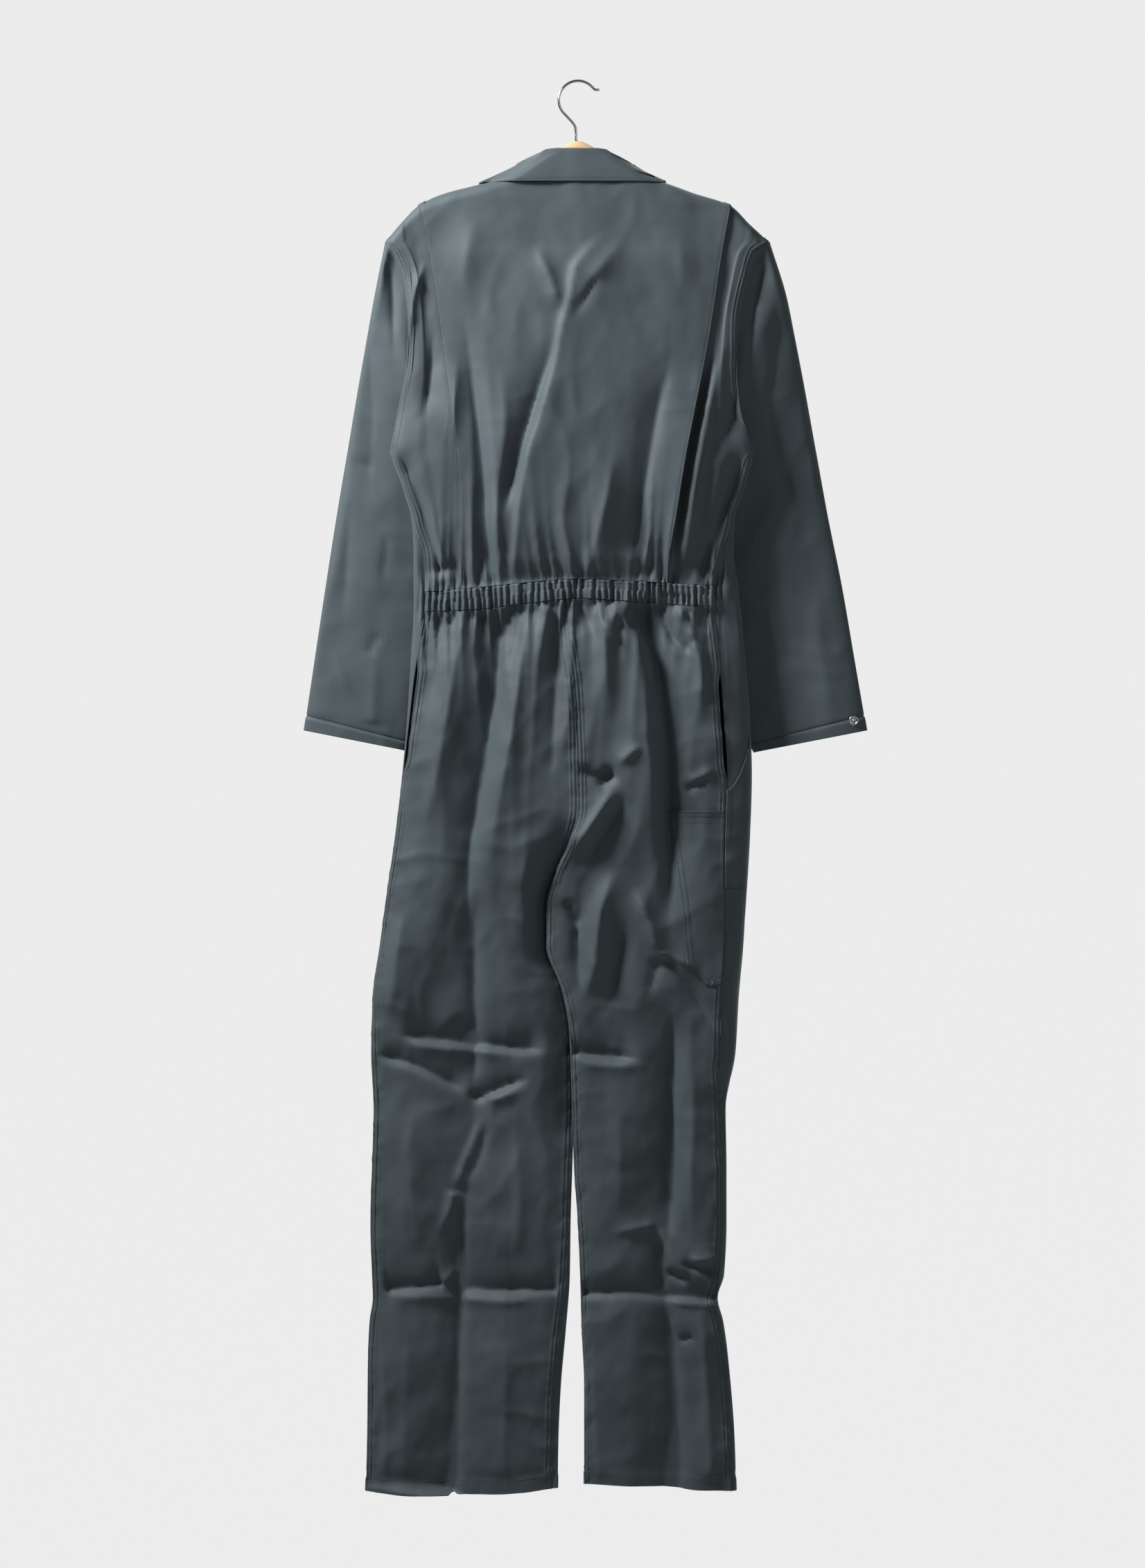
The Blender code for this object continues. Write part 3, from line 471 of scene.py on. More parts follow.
# Each crease: its line as x, z points down or rightwards, its widths on the left and right of
# that line (below and above one that runs rightwards), its height (+ stands out, - sinks), and
# the shares of its length over which it fades in and out. All in millimetres.
BACK_FOLDS = (
    # The long diagonal fold of the back, its branch and the hollows beside it.
    (((37, -184), (10, -212), (-4, -232), (-9, -265), (-17, -292), (-29, -348), (-48, -415)),
     4, 34, 2.6, 0.25, 0.3),
    (((-29, -348), (-48, -415), (-62, -462), (-71, -514), (-77, -587), (-79, -612)), 4, 28, 2.6, 0.2, 0.1),
    (((-54, -201), (-40, -225), (-31, -248), (-20, -285)), 14, 8, 3.0, 0.4, 0.3),
    (((28, -236), (12, -262), (-8, -300)), 9, 7, -3.5, 0.3, 0.5),
    (((62, -190), (30, -228), (8, -262), (0, -300)), 12, 16, 2.6, 0.4, 0.4),
    (((-20, -300), (-50, -390), (-72, -460), (-92, -540)), 16, 6, -4.5, 0.4, 0.2),
    (((119, -315), (108, -362), (97, -410), (84, -490), (68, -590)), 20, 9, -4.5, 0.4, 0.1),
    (((82, -500), (83, -555), (82, -612)), 7, 7, -3.5, 0.5, 0.1),
    (((46, -430), (38, -500), (24, -560), (12, -612)), 13, 18, 3.0, 0.5, 0.1),
    (((-139, -275), (-128, -370), (-117, -459), (-113, -540), (-110, -610)), 14, 8, -4.5, 0.4, 0.1),
    (((-146, -330), (-150, -400), (-149, -455)), 6, 6, 2.2, 0.4, 0.4),
    (((-96, -330), (-88, -420), (-98, -520), (-96, -600)), 16, 12, 3.0, 0.4, 0.2),
    (((120, -170), (128, -230), (118, -290)), 22, 24, 2.2, 0.5, 0.5),
    (((-120, -160), (-135, -215), (-140, -280)), 18, 20, 2.2, 0.5, 0.5),
    # The sides of the back.
    (((-184, -217), (-192, -240), (-200, -268), (-205, -325)), 7, 5, 3.5, 0.3, 0.4),
    (((-176, -300), (-182, -380), (-196, -430)), 10, 12, -3.5, 0.4, 0.4),
    (((-222, -452), (-196, -500), (-178, -560), (-166, -612)), 9, 11, -5.0, 0.2, 0.1),
    (((-206, -452), (-184, -520), (-160, -600)), 9, 9, 3.2, 0.3, 0.1),
    (((188, -300), (168, -372), (154, -440), (140, -520), (130, -600)), 13, 9, 3.6, 0.4, 0.1),
    (((200, -380), (186, -420), (160, -470)), 8, 10, -3.4, 0.3, 0.5),
    (((204, -440), (186, -500), (166, -560), (150, -612)), 8, 11, -4.4, 0.3, 0.1),
    (((192, -500), (176, -560), (168, -610)), 7, 8, 3.0, 0.4, 0.1),
    # The seat and hips.
    (((-86, -645), (-94, -700), (-101, -750), (-113, -834), (-122, -885), (-133, -970), (-132, -1100)),
     24, 9, -8.0, 0.08, 0.5),
    (((-78, -640), (-74, -683), (-84, -722)), 7, 6, -4.0, 0.1, 0.5),
    (((-62, -645), (-72, -740), (-92, -860), (-112, -980)), 12, 20, 5.0, 0.1, 0.5),
    (((-118, -650), (-121, -690), (-120, -735)), 6, 5, -4.0, 0.1, 0.5),
    (((-140, -645), (-150, -720), (-168, -830), (-196, -960)), 16, 22, 4.0, 0.1, 0.6),
    (((-168, -650), (-172, -720), (-184, -800)), 9, 8, -3.4, 0.1, 0.6),
    (((-34, -640), (-41, -680), (-49, -735)), 8, 8, 4.0, 0.1, 0.6),
    (((-22, -645), (-26, -720), (-30, -814), (-32, -900)), 16, 10, -3.5, 0.2, 0.5),
    (((0, -637), (8, -655), (17, -680)), 5, 5, -3.0, 0.1, 0.5),
    (((30, -668), (38, -672), (48, -688)), 4, 5, 2.4, 0.3, 0.3),
    (((26, -640), (34, -700), (40, -790)), 12, 12, 4.0, 0.1, 0.6),
    (((44, -637), (64, -670), (79, -700), (85, -760), (87, -808), (92, -861), (93, -968)),
     30, 9, 6.0, 0.06, 0.4),
    (((62, -637), (92, -700), (104, -770), (110, -860), (112, -980), (110, -1080)), 14, 20, -9.0, 0.06, 0.4),
    (((98, -642), (114, -678), (130, -699)), 5, 6, -4.0, 0.1, 0.3),
    (((130, -699), (137, -690), (143, -680)), 5, 5, -3.5, 0.2, 0.4),
    (((120, -640), (134, -668), (150, -720), (152, -790)), 9, 12, 4.5, 0.1, 0.5),
    (((160, -642), (158, -690), (164, -760)), 8, 8, -3.4, 0.1, 0.6),
    (((2, -837), (14, -848), (28, -852), (40, -845), (50, -836)), 6, 5, -3.4, 0.2, 0.3),
    (((50, -838), (62, -826), (80, -812)), 6, 6, 3.4, 0.3, 0.3),
    (((22, -866), (34, -858), (50, -846)), 5, 7, -5.0, 0.3, 0.3),
    (((50, -858), (30, -890), (8, -922), (-10, -950)), 8, 12, 4.5, 0.3, 0.3),
    (((60, -870), (44, -900), (20, -938), (0, -970)), 6, 9, -4.0, 0.3, 0.4),
    (((133, -863), (141, -857), (149, -853), (158, -848), (168, -841)), 5, 6, 3.0, 0.3, 0.3),
    (((128, -872), (145, -862), (160, -858)), 5, 5, -3.0, 0.3, 0.3),
    # The right leg.
    (((-15, -1000), (-8, -1018), (4, -1036)), 5, 7, -4.0, 0.3, 0.3),
    (((48, -960), (36, -990), (28, -1017), (22, -1060), (18, -1092), (4, -1130)), 9, 14, 5.5, 0.3, 0.3),
    (((10, -985), (0, -1040), (2, -1090), (8, -1130)), 9, 9, -4.0, 0.4, 0.4),
    (((60, -1010), (54, -1060), (44, -1110), (30, -1150)), 10, 12, -4.5, 0.4, 0.4),
    (((70, -985), (88, -1030), (100, -1068)), 7, 9, 4.0, 0.4, 0.2),
    (((100, -1067), (122, -1094), (144, -1122), (162, -1150), (179, -1172)), 6, 7, -4.5, 0.15, 0.4),
    (((96, -1062), (128, -1078), (152, -1090)), 6, 6, 3.0, 0.2, 0.5),
    (((98, -1070), (92, -1100), (84, -1130)), 8, 8, -3.5, 0.2, 0.5),
    (((-16, -1188), (30, -1193), (78, -1198)), 4, 22, -4.2, 0.05, 0.3),
    (((-8, -1200), (40, -1206), (90, -1203)), 9, 5, 2.2, 0.3, 0.4),
    (((116, -1140), (117, -1230), (116, -1330), (114, -1413)), 26, 5, -4.5, 0.3, 0.2),
    (((112, -1410), (103, -1430), (102, -1487)), 12, 5, -4.5, 0.3, 0.2),
    (((108, -1492), (118, -1560), (122, -1640), (121, -1728)), 20, 6, -4.0, 0.2, 0.02),
    (((50, -1230), (52, -1330), (48, -1420)), 20, 22, 2.6, 0.5, 0.4),
    (((38, -1412), (66, -1406), (98, -1400)), 5, 7, 2.6, 0.4, 0.2),
    (((102, -1402), (112, -1432), (124, -1452), (140, -1464)), 5, 6, 4.0, 0.3, 0.2),
    (((108, -1455), (120, -1464), (136, -1470)), 5, 5, -4.2, 0.3, 0.3),
    (((124, -1448), (138, -1452), (152, -1456), (170, -1462)), 4, 6, -4.0, 0.3, 0.3),
    (((134, -1440), (150, -1444), (172, -1440)), 5, 5, 3.0, 0.3, 0.3),
    (((2, -1487), (60, -1484), (110, -1488), (172, -1493)), 4, 20, -3.6, 0.05, 0.02),
    (((110, -1497), (140, -1496), (174, -1499)), 4, 5, 3.0, 0.3, 0.02),
    (((122, -1545), (132, -1541), (144, -1537)), 4, 5, -3.0, 0.3, 0.3),
    (((150, -1500), (156, -1560), (160, -1640), (164, -1720)), 9, 12, 2.6, 0.2, 0.1),
    (((14, -1500), (20, -1600), (26, -1720)), 12, 16, 1.8, 0.2, 0.1),
    (((136, -1180), (142, -1260), (138, -1340), (142, -1420)), 10, 14, 2.8, 0.3, 0.3),
    # The left leg.
    (((-128, -1000), (-126, -1100), (-125, -1180), (-126, -1260)), 24, 6, -3.8, 0.3, 0.3),
    (((-134, -1330), (-141, -1402), (-144, -1545), (-148, -1688), (-153, -1731)), 26, 5, -4.5, 0.3, 0.02),
    (((-222, -1168), (-176, -1173), (-128, -1179), (-84, -1184), (-36, -1187)), 4, 26, -4.6, 0.15, 0.15),
    (((-216, -1180), (-150, -1186), (-70, -1194)), 8, 6, 2.4, 0.3, 0.4),
    (((-248, -1193), (-224, -1198), (-198, -1206), (-166, -1222), (-136, -1239)), 4, 16, -3.6, 0.15, 0.2),
    (((-136, -1239), (-122, -1246), (-108, -1240), (-84, -1230), (-56, -1219)), 4, 14, -3.6, 0.2, 0.3),
    (((-116, -1250), (-90, -1243), (-66, -1232)), 7, 5, 3.0, 0.3, 0.4),
    (((-116, -1262), (-124, -1288), (-138, -1322), (-151, -1358)), 3, 13, 3.0, 0.3, 0.2),
    (((-108, -1270), (-118, -1310), (-134, -1350)), 9, 5, -2.6, 0.3, 0.3),
    (((-151, -1358), (-158, -1385), (-173, -1418)), 5, 9, 3.4, 0.1, 0.5),
    (((-236, -1481), (-198, -1478), (-162, -1473)), 4, 22, -3.8, 0.05, 0.1),
    (((-162, -1473), (-136, -1479), (-112, -1482), (-70, -1481), (-22, -1481)), 4, 22, -3.8, 0.1, 0.05),
    (((-164, -1474), (-153, -1462), (-140, -1451)), 5, 6, 3.4, 0.2, 0.4),
    (((-232, -1492), (-180, -1489), (-110, -1494), (-40, -1493)), 8, 5, 2.2, 0.2, 0.2),
    (((-210, -1000), (-222, -1080), (-232, -1160)), 16, 18, 3.0, 0.4, 0.3),
    (((-60, -900), (-66, -1000), (-62, -1100)), 20, 24, 3.4, 0.4, 0.4),
    (((-200, -1230), (-204, -1330), (-196, -1440)), 22, 24, 2.6, 0.4, 0.3),
    (((-80, -1280), (-70, -1360), (-76, -1450)), 22, 20, 2.6, 0.4, 0.3),
    (((-206, -1510), (-210, -1610), (-212, -1715)), 22, 20, 2.0, 0.3, 0.1),
    (((-82, -1510), (-88, -1610), (-90, -1715)), 22, 20, 2.0, 0.3, 0.1),
    (((-240, -1540), (-234, -1640), (-236, -1720)), 6, 8, 1.6, 0.2, 0.2),
)
# The pressed creases of the legs: sharp valleys between two flat flanks.
PRESSED = (
    (((-122, -930), (-125, -1100), (-127, -1250), (-137, -1380), (-142, -1470), (-145, -1560), (-149, -1690),
      (-154, -1736)), 75, 60, -14, 0.15, 0.01),
    (((110, -1090), (116, -1200), (116, -1340), (108, -1440), (107, -1500), (114, -1560), (121, -1640),
      (122, -1736)), 60, 34, -14, 0.12, 0.01),
)
SMALL_FOLD = 18  # a crease narrower than this, both sides together, is laid a quarter lower
BACK_CALM = 0.45  # how much smoother the cloth is above the waistband than below it
SLEEVE_FOLDS = (
    (((-238, -212), (-228, -250), (-226, -300), (-224, -350)), 6, 10, -5.0, 0.2, 0.5),
    (((-252, -262), (-256, -330), (-252, -420), (-262, -520)), 16, 14, -3.0, 0.4, 0.4),
    (((-233, -546), (-236, -580), (-241, -620)), 4, 5, -2.2, 0.3, 0.4),
    (((-288, -430), (-300, -540), (-306, -640)), 16, 18, 2.4, 0.4, 0.4),
    (((-256, -704), (-252, -690), (-246, -681), (-237, -676)), 4, 5, -2.8, 0.2, 0.4),
    (((-302, -692), (-292, -722), (-276, -760)), 6, 7, 1.8, 0.3, 0.4),
    (((-280, -500), (-284, -580), (-290, -680)), 14, 10, -2.2, 0.4, 0.4),
    (((-246, -470), (-270, -466), (-290, -452)), 8, 8, -1.8, 0.3, 0.5),
    (((-246, -690), (-250, -740), (-252, -790)), 10, 10, 1.8, 0.4, 0.1),
    (((232, -206), (222, -250), (214, -300), (212, -380)), 8, 6, -4.0, 0.2, 0.5),
    (((244, -240), (246, -320), (238, -400), (248, -500)), 14, 18, -4.0, 0.3, 0.4),
    (((268, -330), (284, -430), (300, -560)), 18, 16, 2.4, 0.4, 0.4),
    (((236, -470), (262, -500), (282, -540)), 9, 10, -2.6, 0.3, 0.5),
    (((240, -560), (248, -640), (262, -730)), 12, 14, -2.6, 0.4, 0.3),
    (((290, -600), (300, -690), (312, -780)), 16, 14, 1.8, 0.4, 0.2),
    (((232, -640), (250, -690), (262, -700)), 8, 9, 2.0, 0.3, 0.4),
)
FRONT_FOLDS = (
    (((-90, -240), (-110, -380), (-100, -560), (-90, -640)), 24, 26, 3.0, 0.3, 0.3),
    (((96, -230), (108, -390), (96, -560), (90, -650)), 26, 24, 3.0, 0.3, 0.3),
    (((-150, -480), (-120, -560), (-96, -640)), 10, 14, -3.0, 0.3, 0.3),
    (((150, -480), (124, -560), (100, -650)), 12, 10, -3.0, 0.3, 0.3),
    (((-128, -940), (-128, -1200), (-134, -1450), (-146, -1728)), 20, 8, 3.0, 0.3, 0.02),
    (((100, -960), (104, -1200), (110, -1450), (118, -1726)), 8, 20, 3.0, 0.3, 0.02),
    (((-230, -1180), (-130, -1172), (-40, -1186)), 7, 8, -2.4, 0.2, 0.2),
    (((10, -1190), (90, -1180), (170, -1196)), 7, 8, -2.4, 0.2, 0.2),
    (((-240, -1480), (-130, -1486), (-30, -1478)), 7, 8, -2.2, 0.2, 0.2),
    (((10, -1486), (90, -1480), (166, -1490)), 7, 8, -2.2, 0.2, 0.2),
)


def smooth_line(points, steps=8):
    """A smooth curve through a few points, as x, z rows in metres."""
    points = np.array(points, dtype=float) * MM
    ends = np.vstack([2 * points[0] - points[1], points, 2 * points[-1] - points[-2]])
    line = []
    for a, b, c, d in zip(ends, ends[1:], ends[2:], ends[3:]):
        for t in np.arange(steps) / steps:
            bent = (2 * a - 5 * b + 4 * c - d) * t * t + (3 * b - a - 3 * c + d) * t**3
            line.append(0.5 * (2 * b + (c - a) * t + bent))
    return np.array(line + [points[-1]])


def crease(x, z, fold, softness=1.15):
    """Height of one crease over the points. At a softness of 1 its middle is a sharp line."""
    points, left, right, height, fade_in, fade_out = fold
    if left + right < SMALL_FOLD:
        height = 0.75 * height
    line = smooth_line(points)
    reach = 3.2 * max(left, right) * MM
    low, high = line.min(0) - reach, line.max(0) + reach
    near = (x > low[0]) & (x < high[0]) & (z > low[1]) & (z < high[1])
    lift = np.zeros_like(x)
    if not near.any():
        return lift
    px, pz = x[near], z[near]
    best = np.full(px.shape, 1e9)
    signed, along = np.zeros(px.shape), np.zeros(px.shape)
    steps = np.diff(line, axis=0)
    lengths = np.hypot(*steps.T)
    starts = np.concatenate([[0], np.cumsum(lengths)])
    for (ax, az), (sx, sz), length, start in zip(line, steps, lengths, starts):
        t = np.clip(((px - ax) * sx + (pz - az) * sz) / length**2, 0, 1)
        dx, dz = px - ax - sx * t, pz - az - sz * t
        far = np.hypot(dx, dz)
        closer = far < best
        best = np.where(closer, far, best)
        signed = np.where(closer, np.sign(sx * dz - sz * dx), signed)
        along = np.where(closer, (start + length * t) / starts[-1], along)
    width = np.where(signed > 0, right, left) * MM
    reach = best / width
    shape = np.exp(-(reach**softness))
    ends = smoothstep(along / max(fade_in, 0.01)) * smoothstep((1 - along) / max(fade_out, 0.01))
    lift[near] = height * MM * shape * ends
    return lift


def soft_noise(x, z, wide, tall, seed):
    """Smooth values from -1 to 1 that change over those distances."""
    table = np.random.RandomState(seed).uniform(-1, 1, (64, 64))
    u, v = x / wide + 31.7, z / tall + 87.3
    i, j = np.floor(u).astype(int), np.floor(v).astype(int)
    s, t = smoothstep(u - i), smoothstep(v - j)
    corner = table[i % 64, j % 64], table[(i + 1) % 64, j % 64]
    below = table[i % 64, (j + 1) % 64], table[(i + 1) % 64, (j + 1) % 64]
    return lerp(lerp(*corner, s), lerp(*below, s), t)


def gathers(x, away, seed):
    """Height of the gathers that fan from a waistband seam, that far away from it."""
    strength = settings().folds.gathers
    out = np.clip(away, 0, None)
    warp = soft_noise(x, out, 34 * MM, 90 * MM, seed) * 5 * MM
    lean = soft_noise(x, 0 * x, 60 * MM, 1.0, seed + 1) * 0.16 * out
    spot = x + 0.35 * warp + lean
    patch = 0.35 + 0.65 * smoothstep(0.5 + soft_noise(x, 0 * x, 26 * MM, 1.0, seed + 2))
    fine = np.sin(2 * math.pi * spot / (7.4 * MM)) * 1.7 * MM * np.exp(-out / (13 * MM))
    middle = 1 - 2 * np.abs(np.sin(math.pi * (spot + 0.8 * warp) / (17 * MM) + 1.3)) ** 0.8
    middle = middle * 3.6 * MM * smoothstep((out + 4 * MM) / (14 * MM)) * np.exp(-out / (38 * MM))
    broad = 1 - 2 * np.abs(np.sin(math.pi * (spot + 1.2 * warp) / (41 * MM) + 0.4)) ** 0.8
    broad = broad * 4.4 * MM * smoothstep(out / (40 * MM)) * np.exp(-out / (95 * MM))
    return strength * patch * (fine + middle + broad)


def back_relief(x, z):
    """How far the cloth of the back stands out from the form."""
    folds = settings().folds
    lift = sum(crease(x, z, fold) for fold in BACK_FOLDS) * folds.creases
    lift = lift + sum(crease(x, z, fold, 1.0) for fold in PRESSED)
    top, bottom = BAND.at("top", x), BAND.at("bottom", x)
    above = z > (top + bottom) / 2
    lift = lift + np.where(above, gathers(x, z - top, folds.seed), gathers(x, bottom - z, folds.seed + 5))
    rise = folds.unevenness * (1 - BACK_CALM * above)
    lift = lift + rise * soft_noise(x, z, 46 * MM, 120 * MM, folds.seed + 20)
    lift = lift + 0.45 * rise * soft_noise(x + 0.4 * z, z, 21 * MM, 60 * MM, folds.seed + 21)
    lift = lift + 0.16 * rise * soft_noise(x, z - 0.3 * x, 11 * MM, 17 * MM, folds.seed + 22)
    return lift + rumples(x, z, folds.seed + 23) * (1 - BACK_CALM * above)


def rumples(x, z, seed):
    """Small sharp creases that run every way, in patches."""
    bend = 14 * MM * soft_noise(x, z, 50 * MM, 50 * MM, seed)
    ridges = 1 - 2.4 * np.abs(soft_noise(x + bend, z - 0.6 * x + bend, 34 * MM, 62 * MM, seed + 1))
    cross = 1 - 2.4 * np.abs(soft_noise(x - 0.4 * z, z + bend, 70 * MM, 26 * MM, seed + 2))
    patch = smoothstep(0.5 + 1.2 * soft_noise(x, z, 90 * MM, 110 * MM, seed + 3))
    return settings().folds.rumples * (ridges * patch + 0.55 * cross * (1 - patch))


def sleeve_relief(x, z):
    folds = settings().folds
    lift = sum(crease(x, z, fold) for fold in SLEEVE_FOLDS) * 0.6 * folds.creases
    lift = lift + rumples(x, z, folds.seed + 33) * 0.7
    lift = lift + 0.7 * folds.unevenness * soft_noise(x, z, 44 * MM, 110 * MM, folds.seed + 30)
    return lift + 0.2 * folds.unevenness * soft_noise(x, z, 18 * MM, 34 * MM, folds.seed + 31)


def front_relief(x, z):
    folds = settings().folds
    lift = sum(crease(x, z, fold) for fold in FRONT_FOLDS) * folds.creases
    lift = lift + rumples(x, z, folds.seed + 43)
    return lift + folds.unevenness * soft_noise(x, z, 50 * MM, 130 * MM, folds.seed + 40)


# --- The form -------------------------------------------------------------------------------


def way_out(side):
    return -1 if side == "left" else 1


def legs_apart(z):
    """0 on the body and 1 on the two separate legs."""
    return smoothstep((CROTCH_TOP - z) / (CROTCH_TOP - CROTCH_LOW))


def profile(x, low, high):
    """The depth, as a share, across a flattened tube from low to high."""
    across = (2 * x - low - high) / (high - low)
    return np.clip(1 - across * across, 0, None) ** (FLATNESS / 2)


def form_share(x, z, side=None):
    """The share of the full depth at a place on the body, or on a leg below the crotch."""
    left, right = BODY.at("left", z), BODY.at("right", z)
    share = profile(np.clip(x, left, right), left, right)
    if side:
        low, high = (left, INNER.at("left", z)) if side == "left" else (INNER.at("right", z), right)
        share = lerp(share, profile(np.clip(x, low, high), low, high), legs_apart(z))
    below = np.clip((SHOULDER.at("level", x) - z) / SHOULDER_ROUND, 0, 1)
    return share * np.sqrt(1 - (1 - below) ** 2)


def skin_y(face, x, z, side=None, lift=0.0):
    """Y of the cloth on the back (face -1) or the front (face 1), with its creases."""
    face = np.broadcast_to(face, np.shape(x))
    share = form_share(x, z, side)
    back = face < 0
    depth = np.where(back, BODY.at("rear", z), BODY.at("front", z))
    relief = np.zeros(np.shape(x))
    if back.any():
        relief[back] = back_relief(x[back], z[back])
    if not back.all():
        relief[~back] = front_relief(x[~back], z[~back])
    y = face * np.maximum(depth * share + relief * smoothstep((share - 0.2) / 0.32) + lift, SEAM_GAP / 2)
    return y + lean(side, x, z) if side else y


def lean(side, x, z):
    """How far a thigh's inner side is pushed back, or forward, where the right one lies across."""
    near = smoothstep(1 - np.abs(x - INNER.at(side, z)) / LEAN_WIDTH)
    below = smoothstep((LEAN_TOP - z) / (50 * MM))
    return -way_out(side) * THIGH_LEAN * near * below * smoothstep((z - LEAN_FOOT) / (90 * MM))


def ring(side, z, turn, face=-1):
    """x and face of a place round one half of the body, or one leg.

    turn is 0 at the side and 1 on the centre line or inseam, on the face asked for. Past
    either end it runs on round onto the other face.
    """
    faces = np.where((turn < 0) | (turn > 1), -face, face)
    q = np.where(turn < 0, -turn, np.where(turn > 1, 2 - turn, turn))
    outer = BODY.at(side, z)
    inner = INNER.at(side, z) + way_out(side) * SEAM_GAP / 2
    share = lerp(1 - np.cos(math.pi * q / 2), (1 - np.cos(math.pi * q)) / 2, legs_apart(z))
    return lerp(outer, inner, share), faces


def seam_turns(side, z):
    """The turns of the side seam and of the inseam on the back, at one level."""
    turns = np.linspace(0, 1, 200)
    line, _ = ring(side, z, turns)
    across = np.abs(line - line[0])
    seam = np.interp(SIDE_SEAM.at(side, z), across, turns) * smoothstep((UNDERARM - z) / SEAM_SETTLES)
    return float(seam), float(np.interp(across[-1] - INSEAM.at(side, z), across, turns))


class Round:
    """Turns by the distance round one face of half the body, from the side seam to the inner edge."""

    def __init__(self, side, face):
        self.side, self.face = side, face
        self.levels = np.arange(UNDERARM, HEM_LEVEL - 16 * MM, -8 * MM)
        self.lengths, self.turns = [], []
        for z in self.levels:
            seam, inseam = seam_turns(side, z)
            end = inseam if face < 0 else lerp(1, 2 - inseam, legs_apart(z))
            turns = np.linspace(seam if face < 0 else -seam, end, 400)
            x, faces = ring(side, z, turns, face)
            depth = np.where(faces < 0, BODY.at("rear", z), BODY.at("front", z))
            y = faces * depth * form_share(x, np.full(x.shape, z), side)
            run = np.concatenate([[0], np.cumsum(np.hypot(np.diff(x), np.diff(y)))])
            self.lengths.append(run[-1])
            self.turns.append(np.interp(np.linspace(0, run[-1], 200), run, turns))
        self.lengths, self.turns = np.array(self.lengths), np.array(self.turns)

    def turn(self, z, share, offset):
        """The turn at a share of the way across plus a distance."""
        row = np.clip((self.levels[0] - z) / (8 * MM), 0, len(self.levels) - 1.001)
        i = row.astype(int)
        length = lerp(self.lengths[i], self.lengths[i + 1], row - i)
        column = np.clip((share + offset / length) * 199, 0, 198.999)
        k = column.astype(int)
        near = lerp(self.turns[i, k], self.turns[i, k + 1], column - k)
        far = lerp(self.turns[i + 1, k], self.turns[i + 1, k + 1], column - k)
        return lerp(near, far, row - i)

    def x(self, z, share, offset):
        """x and face of that place. Above the underarm it spans from the armhole to the centre line."""
        turn = self.turn(z, share, offset)
        x, faces = ring(self.side, z, turn, self.face)
        edge = ARMHOLE.at(self.side, z) - way_out(self.side) * SEAM_GAP
        middle = INNER.at(self.side, z) + way_out(self.side) * SEAM_GAP / 2
        upper = lerp(edge, middle, 1 - np.cos(math.pi * np.clip(turn, 0, 1) / 2))
        above = z > UNDERARM
        return np.where(above, upper, x), np.where(above, self.face, faces)


def spread(length, pitch, steps):
    """Places over a length, as shares of it and offsets: close together at both ends."""
    edge = steps[-1]
    count = max(3, int(round((length - 2 * edge) / pitch)))
    middle = np.arange(1, count) / count
    share = np.concatenate([0 * steps, middle, 0 * steps + 1])
    return share, np.concatenate([steps, lerp(edge, -edge, middle), -steps[::-1]])


def down(x_of, top_of, foot_of, length, pitch):
    """z over a panel from its top line to its foot line, where x_of(z) gives its columns."""
    share, offset = (part[:, None] for part in spread(length, pitch, ROW_STEPS))
    z = np.full((len(share), 1), -0.4) + 0 * x_of(np.full((1, 1), -0.4))
    for _ in range(14):
        x = x_of(z)
        top = top_of(x)
        z = (z + top + (foot_of(x) - top) * share - offset) / 2
    return z


def back_top(x):
    """The top of the back's cloth: the neck line, or the shoulder line past it."""
    return np.where(np.abs(x) < NECK_HALF, BACK_NECK.at("level", x), SHOULDER.at("level", x))


def front_top(x):
    return np.where(np.abs(x) < NECK_HALF, FRONT_NECK.at("level", x), SHOULDER.at("level", x))


def normals_of(spots):
    """Unit normals of a grid whose rows run down and whose columns run rightwards, seen from outside."""
    fall, over = np.gradient(spots, axis=0), np.gradient(spots, axis=1)
    found = np.cross(fall, over)
    return found / np.maximum(np.linalg.norm(found, axis=2, keepdims=True), 1e-12)


def groove(distance, row, depth, width=ROW_WIDTH):
    """A row of stitches pulls the cloth in, at that distance from an edge."""
    return -depth * np.exp(-(((distance - row) / width) ** 2))


def felled(distance):
    """A felled seam's raised band with its two rows of stitches pulled in."""
    band = FELL_HEIGHT * smoothstep((FELL_WIDTH + 0.5 * MM - distance) / MM)
    for row in FELL_STITCHES:
        band = band + groove(distance, row, GROOVE, 1.1 * MM)
    return band


def hemmed(distance):
    """A turned hem: two more layers, and one row of stitches."""
    band = 0.7 * MM * smoothstep((HEM_WIDTH - distance) / (1.6 * MM))
    return band + groove(distance, HEM_WIDTH, 1.0 * MM, 1.5 * MM)


# --- Cloth pieces ---------------------------------------------------------------------------


def new_object(name, points, faces):
    mesh = bpy.data.meshes.new(name)
    mesh.from_pydata(np.asarray(points).tolist(), [], np.asarray(faces).tolist())
    mesh.validate()
    mesh.shade_smooth()
    made = bpy.data.objects.new(name, mesh)
    bpy.context.scene.collection.objects.link(made)
    return made


def grid_faces(rows, columns, wrap=False, start=0):
    """Quads of a grid, facing the side from which its columns run rightwards."""
    i = np.arange(rows - 1)[:, None] * columns + start
    j = np.arange(columns if wrap else columns - 1)[None, :]
    k = (j + 1) % columns
    return np.stack([i + j, i + columns + j, i + columns + k, i + k], axis=2).reshape(-1, 4)


def run_along(spots, axis=1):
    """The distance along each row of a grid, or down each column."""
    steps = np.linalg.norm(np.diff(spots, axis=axis), axis=2)
    return np.concatenate([np.zeros_like(steps.take([0], axis)), np.cumsum(steps, axis)], axis)


